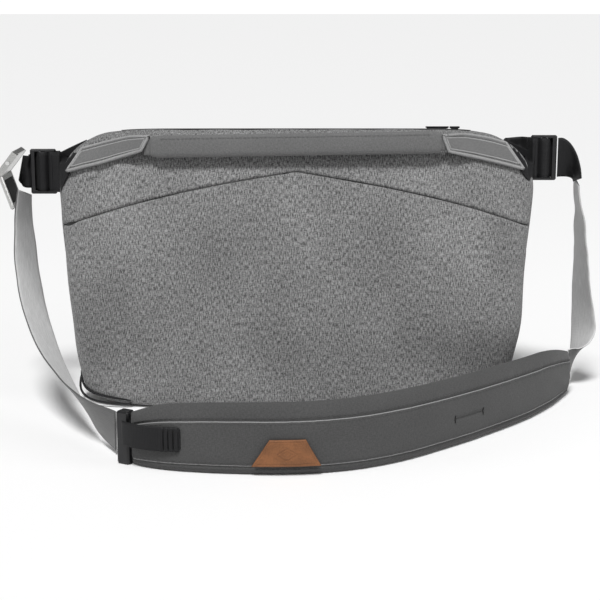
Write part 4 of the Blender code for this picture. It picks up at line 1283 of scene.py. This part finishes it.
def make_pad():
    last = len(PAD_ROUTE) - 1
    ups = [math.sin(math.pi / 2 * u) * 0.55 + u * 0.45 for u in between(-1, 1, 56)]
    frames = []
    for position in between(0, last, 210):
        middle, out, half = pad_frame(position)
        ring = [(pad_reach(u, position, 1), u * half * 0.995) for u in ups]
        ring += [(-pad_reach(u, position, -1), u * half * 0.995) for u in ups[::-1]]
        frames.append((middle, out, Vector((0, 0, 1)), ring))
    cushion = piece("shoulder_pad", loft_mesh("shoulder_pad", frames, frames[0][3]), PAD_CLOTH,
                    "strap", ("pad_foam", "pad_front_cover", "pad_back_cover"))
    for k, seam in enumerate(PAD_SEAMS):
        for j, offset in enumerate((-0.085, 0.085)):
            path = [pad_point(position, seam + offset, 0.0001) for position in between(0.25, last - 0.3, 160)]
            stitch_row(f"pad_stitching_{k}_{j}", path, PAD_CLOTH, "strap", 0.0030, 0.0013, 0.00030)
    # a thin cord along each seam, coloured lighter than the pad: painted highlight where the seam's lip catches the
    # light
    for k, up in enumerate((PAD_SEAMS[0] - 0.03, PAD_SEAMS[1] + 0.03)):
        path = [pad_point(position, up, -0.0001) for position in between(0.12, last - 0.15, 180)]
        cord_piece(f"pad_seam_highlight_cord_{k}", path, 0.0005, PIPING_AND_SEAM_HIGHLIGHT, "strap", sides=6)
    # slit with a bartack at each end
    path = [pad_point(position, SLIT_UP, 0.0001) for position in between(7.38, 8.12, 24)]
    cord_piece("pad_slit_edge", path, 0.0004, DARK_THREAD, "strap", sides=6)
    for k, position in enumerate((7.36, 8.14)):
        path = [pad_point(position, up, 0.0002) for up in between(-0.26, -0.04, 8)]
        cord_piece(f"pad_bartack_{k}", path, 0.0006, DARK_THREAD, "strap", sides=6)


def make_leather():
    def spot(s, t, lift):
        left = 3.05 + (3.40 - 3.05) * t
        right = 4.38 + (4.08 - 4.38) * t
        up = -0.72 + 0.76 * t
        middle, out, half = pad_frame(left + (right - left) * s)
        reach = PAD_HALF + 0.0030 - 0.0016 * abs(up) ** 3
        return middle + out * (reach + lift) + Vector((0, 0, up * half))

    rows = []
    for t in between(0, 1, 44):
        row = []
        for s in between(0, 1, 76):
            edge = min(min(t, 1 - t) * 0.0246, min(s, 1 - s) * 0.045)
            round_off = 0.0009 * max(0.0, 1 - edge / 0.0012) ** 2
            line = 0.00045 * math.exp(-(((edge - 0.0022) / 0.0004) ** 2))
            # generic embossed lozenge
            a, b = (s - 0.5) * 0.045 / 0.0085, (t - 0.46) * 0.0246 / 0.0055
            lozenge = abs(abs(a) + abs(b) - 1.0)
            inner = abs(abs(a) + abs(b) - 0.5)
            press = 0.00045 * math.exp(-((lozenge / 0.11) ** 2)) + 0.0003 * math.exp(-((inner / 0.10) ** 2))
            row.append(spot(s, t, -round_off - line - press))
        rows.append(row)
    piece("leather_tag", grid_mesh("leather_tag", rows, 0.0014), LEATHER, "strap", "leather_patch")


# ---- small parts ----


def make_hard_parts():
    for node in ("buckle_left", "buckle_right", "pad_end_buckle"):
        rounded_cad(node, PLASTIC, 0.0005, 3)
    for node in ("main_slider", "main_pull", "pocket_slider", "pocket_pull", "zip_lock_eyelet"):
        rounded_cad(node, PLASTIC, 0.0003, 2)
    # the undersides of the main slider and its pull: (inset in x and y, drop below the shape)
    for name, node, body, (inset_x, inset_y, drop) in (
        ("slider_block", "main_slider", "slider", (0.0012, 0.0010, 0.0016)),
        ("pull_block", "main_pull", "pull", (0.0010, 0.0003, 0.0011)),
    ):
        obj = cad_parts[node]
        corners = [obj.matrix_world @ Vector(corner) for corner in obj.bound_box]
        low = [min(corner[k] for corner in corners) for k in range(3)]
        high = [max(corner[k] for corner in corners) for k in range(3)]
        low, high = ((low[0] + inset_x, low[1] + inset_y, low[2] - drop),
                     (high[0] - inset_x, high[1] - inset_y, low[2] + 0.0004))
        # a moulded body: rounded section, waisted in the middle and closing at both ends
        frames = []
        for part in between(0, 1, 24):
            close = math.sin(math.pi * min(max(part, 0.02), 0.98)) ** 0.35
            waist = close * (1 - 0.22 * math.exp(-(((part - 0.5) / 0.16) ** 2)))
            ring = []
            for k in range(20):
                c, d = math.cos(math.tau * k / 20), math.sin(math.tau * k / 20)
                ring.append((math.copysign(abs(c) ** 0.6, c) * (high[1] - low[1]) / 2 * waist,
                             math.copysign(abs(d) ** 0.6, d) * (high[2] - low[2]) / 2 * close))
            at = Vector((low[0] + (high[0] - low[0]) * part, (low[1] + high[1]) / 2, (low[2] + high[2]) / 2))
            frames.append((at, Vector((0, 1, 0)), Vector((0, 0, 1)), ring))
        piece(name, loft_mesh(name, frames, frames[0][3]), PLASTIC, body)
    for node in ("adjuster_frame", "adjuster_lever"):
        rounded_cad(node, METAL, 0.0006, 3)
    rounded_cad("adjuster_pin", PIN_METAL, 0.0004, 2)
    # webbing turned through the adjuster's ring
    slant = math.radians(-19)
    down = Vector((math.sin(slant), 0, math.cos(slant)))
    path = []
    for share, shift in ((0.0135, 0.0), (0.008, 0.0006), (0.0, 0.0012), (-0.008, 0.0006), (-0.0135, 0.0)):
        at = Vector((-0.2722, -0.004, 0.1965)) + down * share + Vector((shift, 0, 0))
        path.append((tuple(at), (0, -1, 0)))
    ribbon_piece("adjuster_webbing", path, 24, 0.0350, BLACK_WEB, "strap", ())


def make_soft_trim():
    route = ((0.28, 2.60), (0.20, 2.30), (0.12, 2.05), (0.05, 1.85), (-0.01, 1.65), (-0.05, 1.45))
    for side, corner in (("left", 0), ("right", 1)):
        turn = 1 if corner else -1
        for strand, (slack, up) in enumerate(((0.0010, 0.0022), (0.0046, -0.0014))):
            path = []
            for k in range(48):
                away, v = smooth_row(route, 5 * k / 47)
                stand = 0.0014 + slack * math.sin(math.pi * k / 47)
                path.append(skin(corner + turn * away, v, -stand) + Vector((0, 0, up)))
            name = f"corner_cord_{side}_{strand}"
            piece(name, loft_mesh(name, frames_along(path), round_profile(0.0011)), BLACK_WEB, "bag",
                  f"corner_loop_{side}" if strand == 0 else ())
    lower = ((0.2265, 0.2280), (0.2130, 0.2290), (0.1960, 0.2380))
    upper = ((0.2268, 0.2310), (0.2145, 0.2372), (0.1985, 0.2445))
    for name, side in (("left", -1), ("right", 1)):
        rows = []
        for t in between(0, 1, 8):
            row = []
            for s in between(0, 2, 20):
                (x0, z0), (x1, z1) = smooth_row(lower, s), smooth_row(upper, s)
                row.append(Vector((side * (x0 + (x1 - x0) * t), -0.0040, z0 + (z1 - z0) * t)))
            rows.append(row if side > 0 else row[::-1])
        piece(f"zip_end_{name}", grid_mesh(f"zip_end_{name}", rows, 0.0012), BLACK_WEB, "bag",
              f"zip_garage_{name}")


def make_pull_tab():
    middle, out, _ = pad_frame(0)
    along = Vector((-out.y, out.x, 0))
    pin = middle - along * 0.0075 + Vector((0, 0, -0.0001)) + out * 0.0070 + along * 0.0030
    rows = []
    for up in between(-0.0100, 0.0100, 14):
        row = []
        for reach in between(0.0005, 0.0520, 70):
            lift = 0.0005 + 0.0038 * (1 - math.exp(-reach / 0.008)) - 0.30 * max(reach - 0.0100, 0.0) ** 2 / 0.052
            if reach > 0.0365:
                lift += 0.0007 * math.sin((reach - 0.0365) / 0.0037 * math.tau) * (1 - (up / 0.0115) ** 4)
            narrow = 1.0 if reach < 0.0490 else 1 - 0.22 * ((reach - 0.0490) / 0.003) ** 2
            row.append(pin + along * reach + out * lift + Vector((0, 0, up * narrow + 0.0060)))
        rows.append(row)
    mesh = grid_mesh("pull_tab_webbing", rows, 0.0018, offset=1.0)
    piece("pull_tab_webbing", mesh, BLACK_WEB, "tab", "pull_tab")


def make_pocket():
    places = with_edges(2.13, 2.87, 70, 0.006)
    panel("pocket_fabric", places, with_edges(2.0, 6.0, 34, 0.05), "pocket_panel", depth=-0.0009)
    rows = [[skin(p, v, -0.0022) for p in between(2.13, 2.87, 80)] for v in between(6.04, 6.18, 4)]
    mesh = grid_mesh("pocket_zip_tape", rows, 0.0008)
    piece("pocket_zip_tape", mesh, BLACK_WEB, "bag", "pocket_zip")

    def place(s):
        p = 2.5 + s
        here = skin(p, 6.11, -0.0026)
        return here, Vector((0, 0, 1)), outward(p, 6.11), (skin(p + 0.01, 6.11) - skin(p - 0.01, 6.11)).normalized()

    reach, count = 0.365, 190
    places = [place(-reach + 2 * reach * (k + 0.5) / count) for k in range(count)]
    zip_teeth("pocket_zip_teeth", places, (0.0013, 0.0006, 0.0006), 0.0, 6, "bag")


def soft_plate(name, node, look, body):
    """A padded plate in place of a CAD plate: eased edges, and a slight swell."""
    low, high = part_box(node)
    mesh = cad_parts[node].data.copy()
    mesh = with_modifier(mesh, "REMESH", mode="VOXEL", voxel_size=0.0014)
    mesh = with_modifier(mesh, "SMOOTH", factor=0.5, iterations=8)
    middle = (low.x + high.x) / 2
    for vertex in mesh.vertices:
        at = vertex.co
        edge = min(at.y - low.y, high.y - at.y, at.z - low.z, high.z - at.z)
        swell = 1.04 - 0.30 * math.exp(-(((edge - 0.004) / 0.0012) ** 2))
        at.x = middle + (at.x - middle) * swell
    uv = mesh.uv_layers.new(name="weave")
    for loop in mesh.loops:
        at = mesh.vertices[loop.vertex_index].co
        uv.data[loop.index].uv = (at.y, at.z)
    piece(name, mesh, look, body, node)


def make_dividers():
    for side in ("left", "right"):
        soft_plate(f"divider_pad_{side}", f"divider_{side}_wall", LINER, f"divider_{side}")
        soft_plate(f"divider_fold_pad_{side}", f"divider_{side}_flap", LINER, f"divider_{side}_fold")


make_camera()
make_stage()
make_body()
make_base()
make_padding()
make_liner()
make_zip()
make_lid()
make_patches()
make_handle()
make_tabs()
make_links()
make_straps()
make_pad()
make_leather()
make_hard_parts()
make_soft_trim()
make_pull_tab()
make_pocket()
make_dividers()
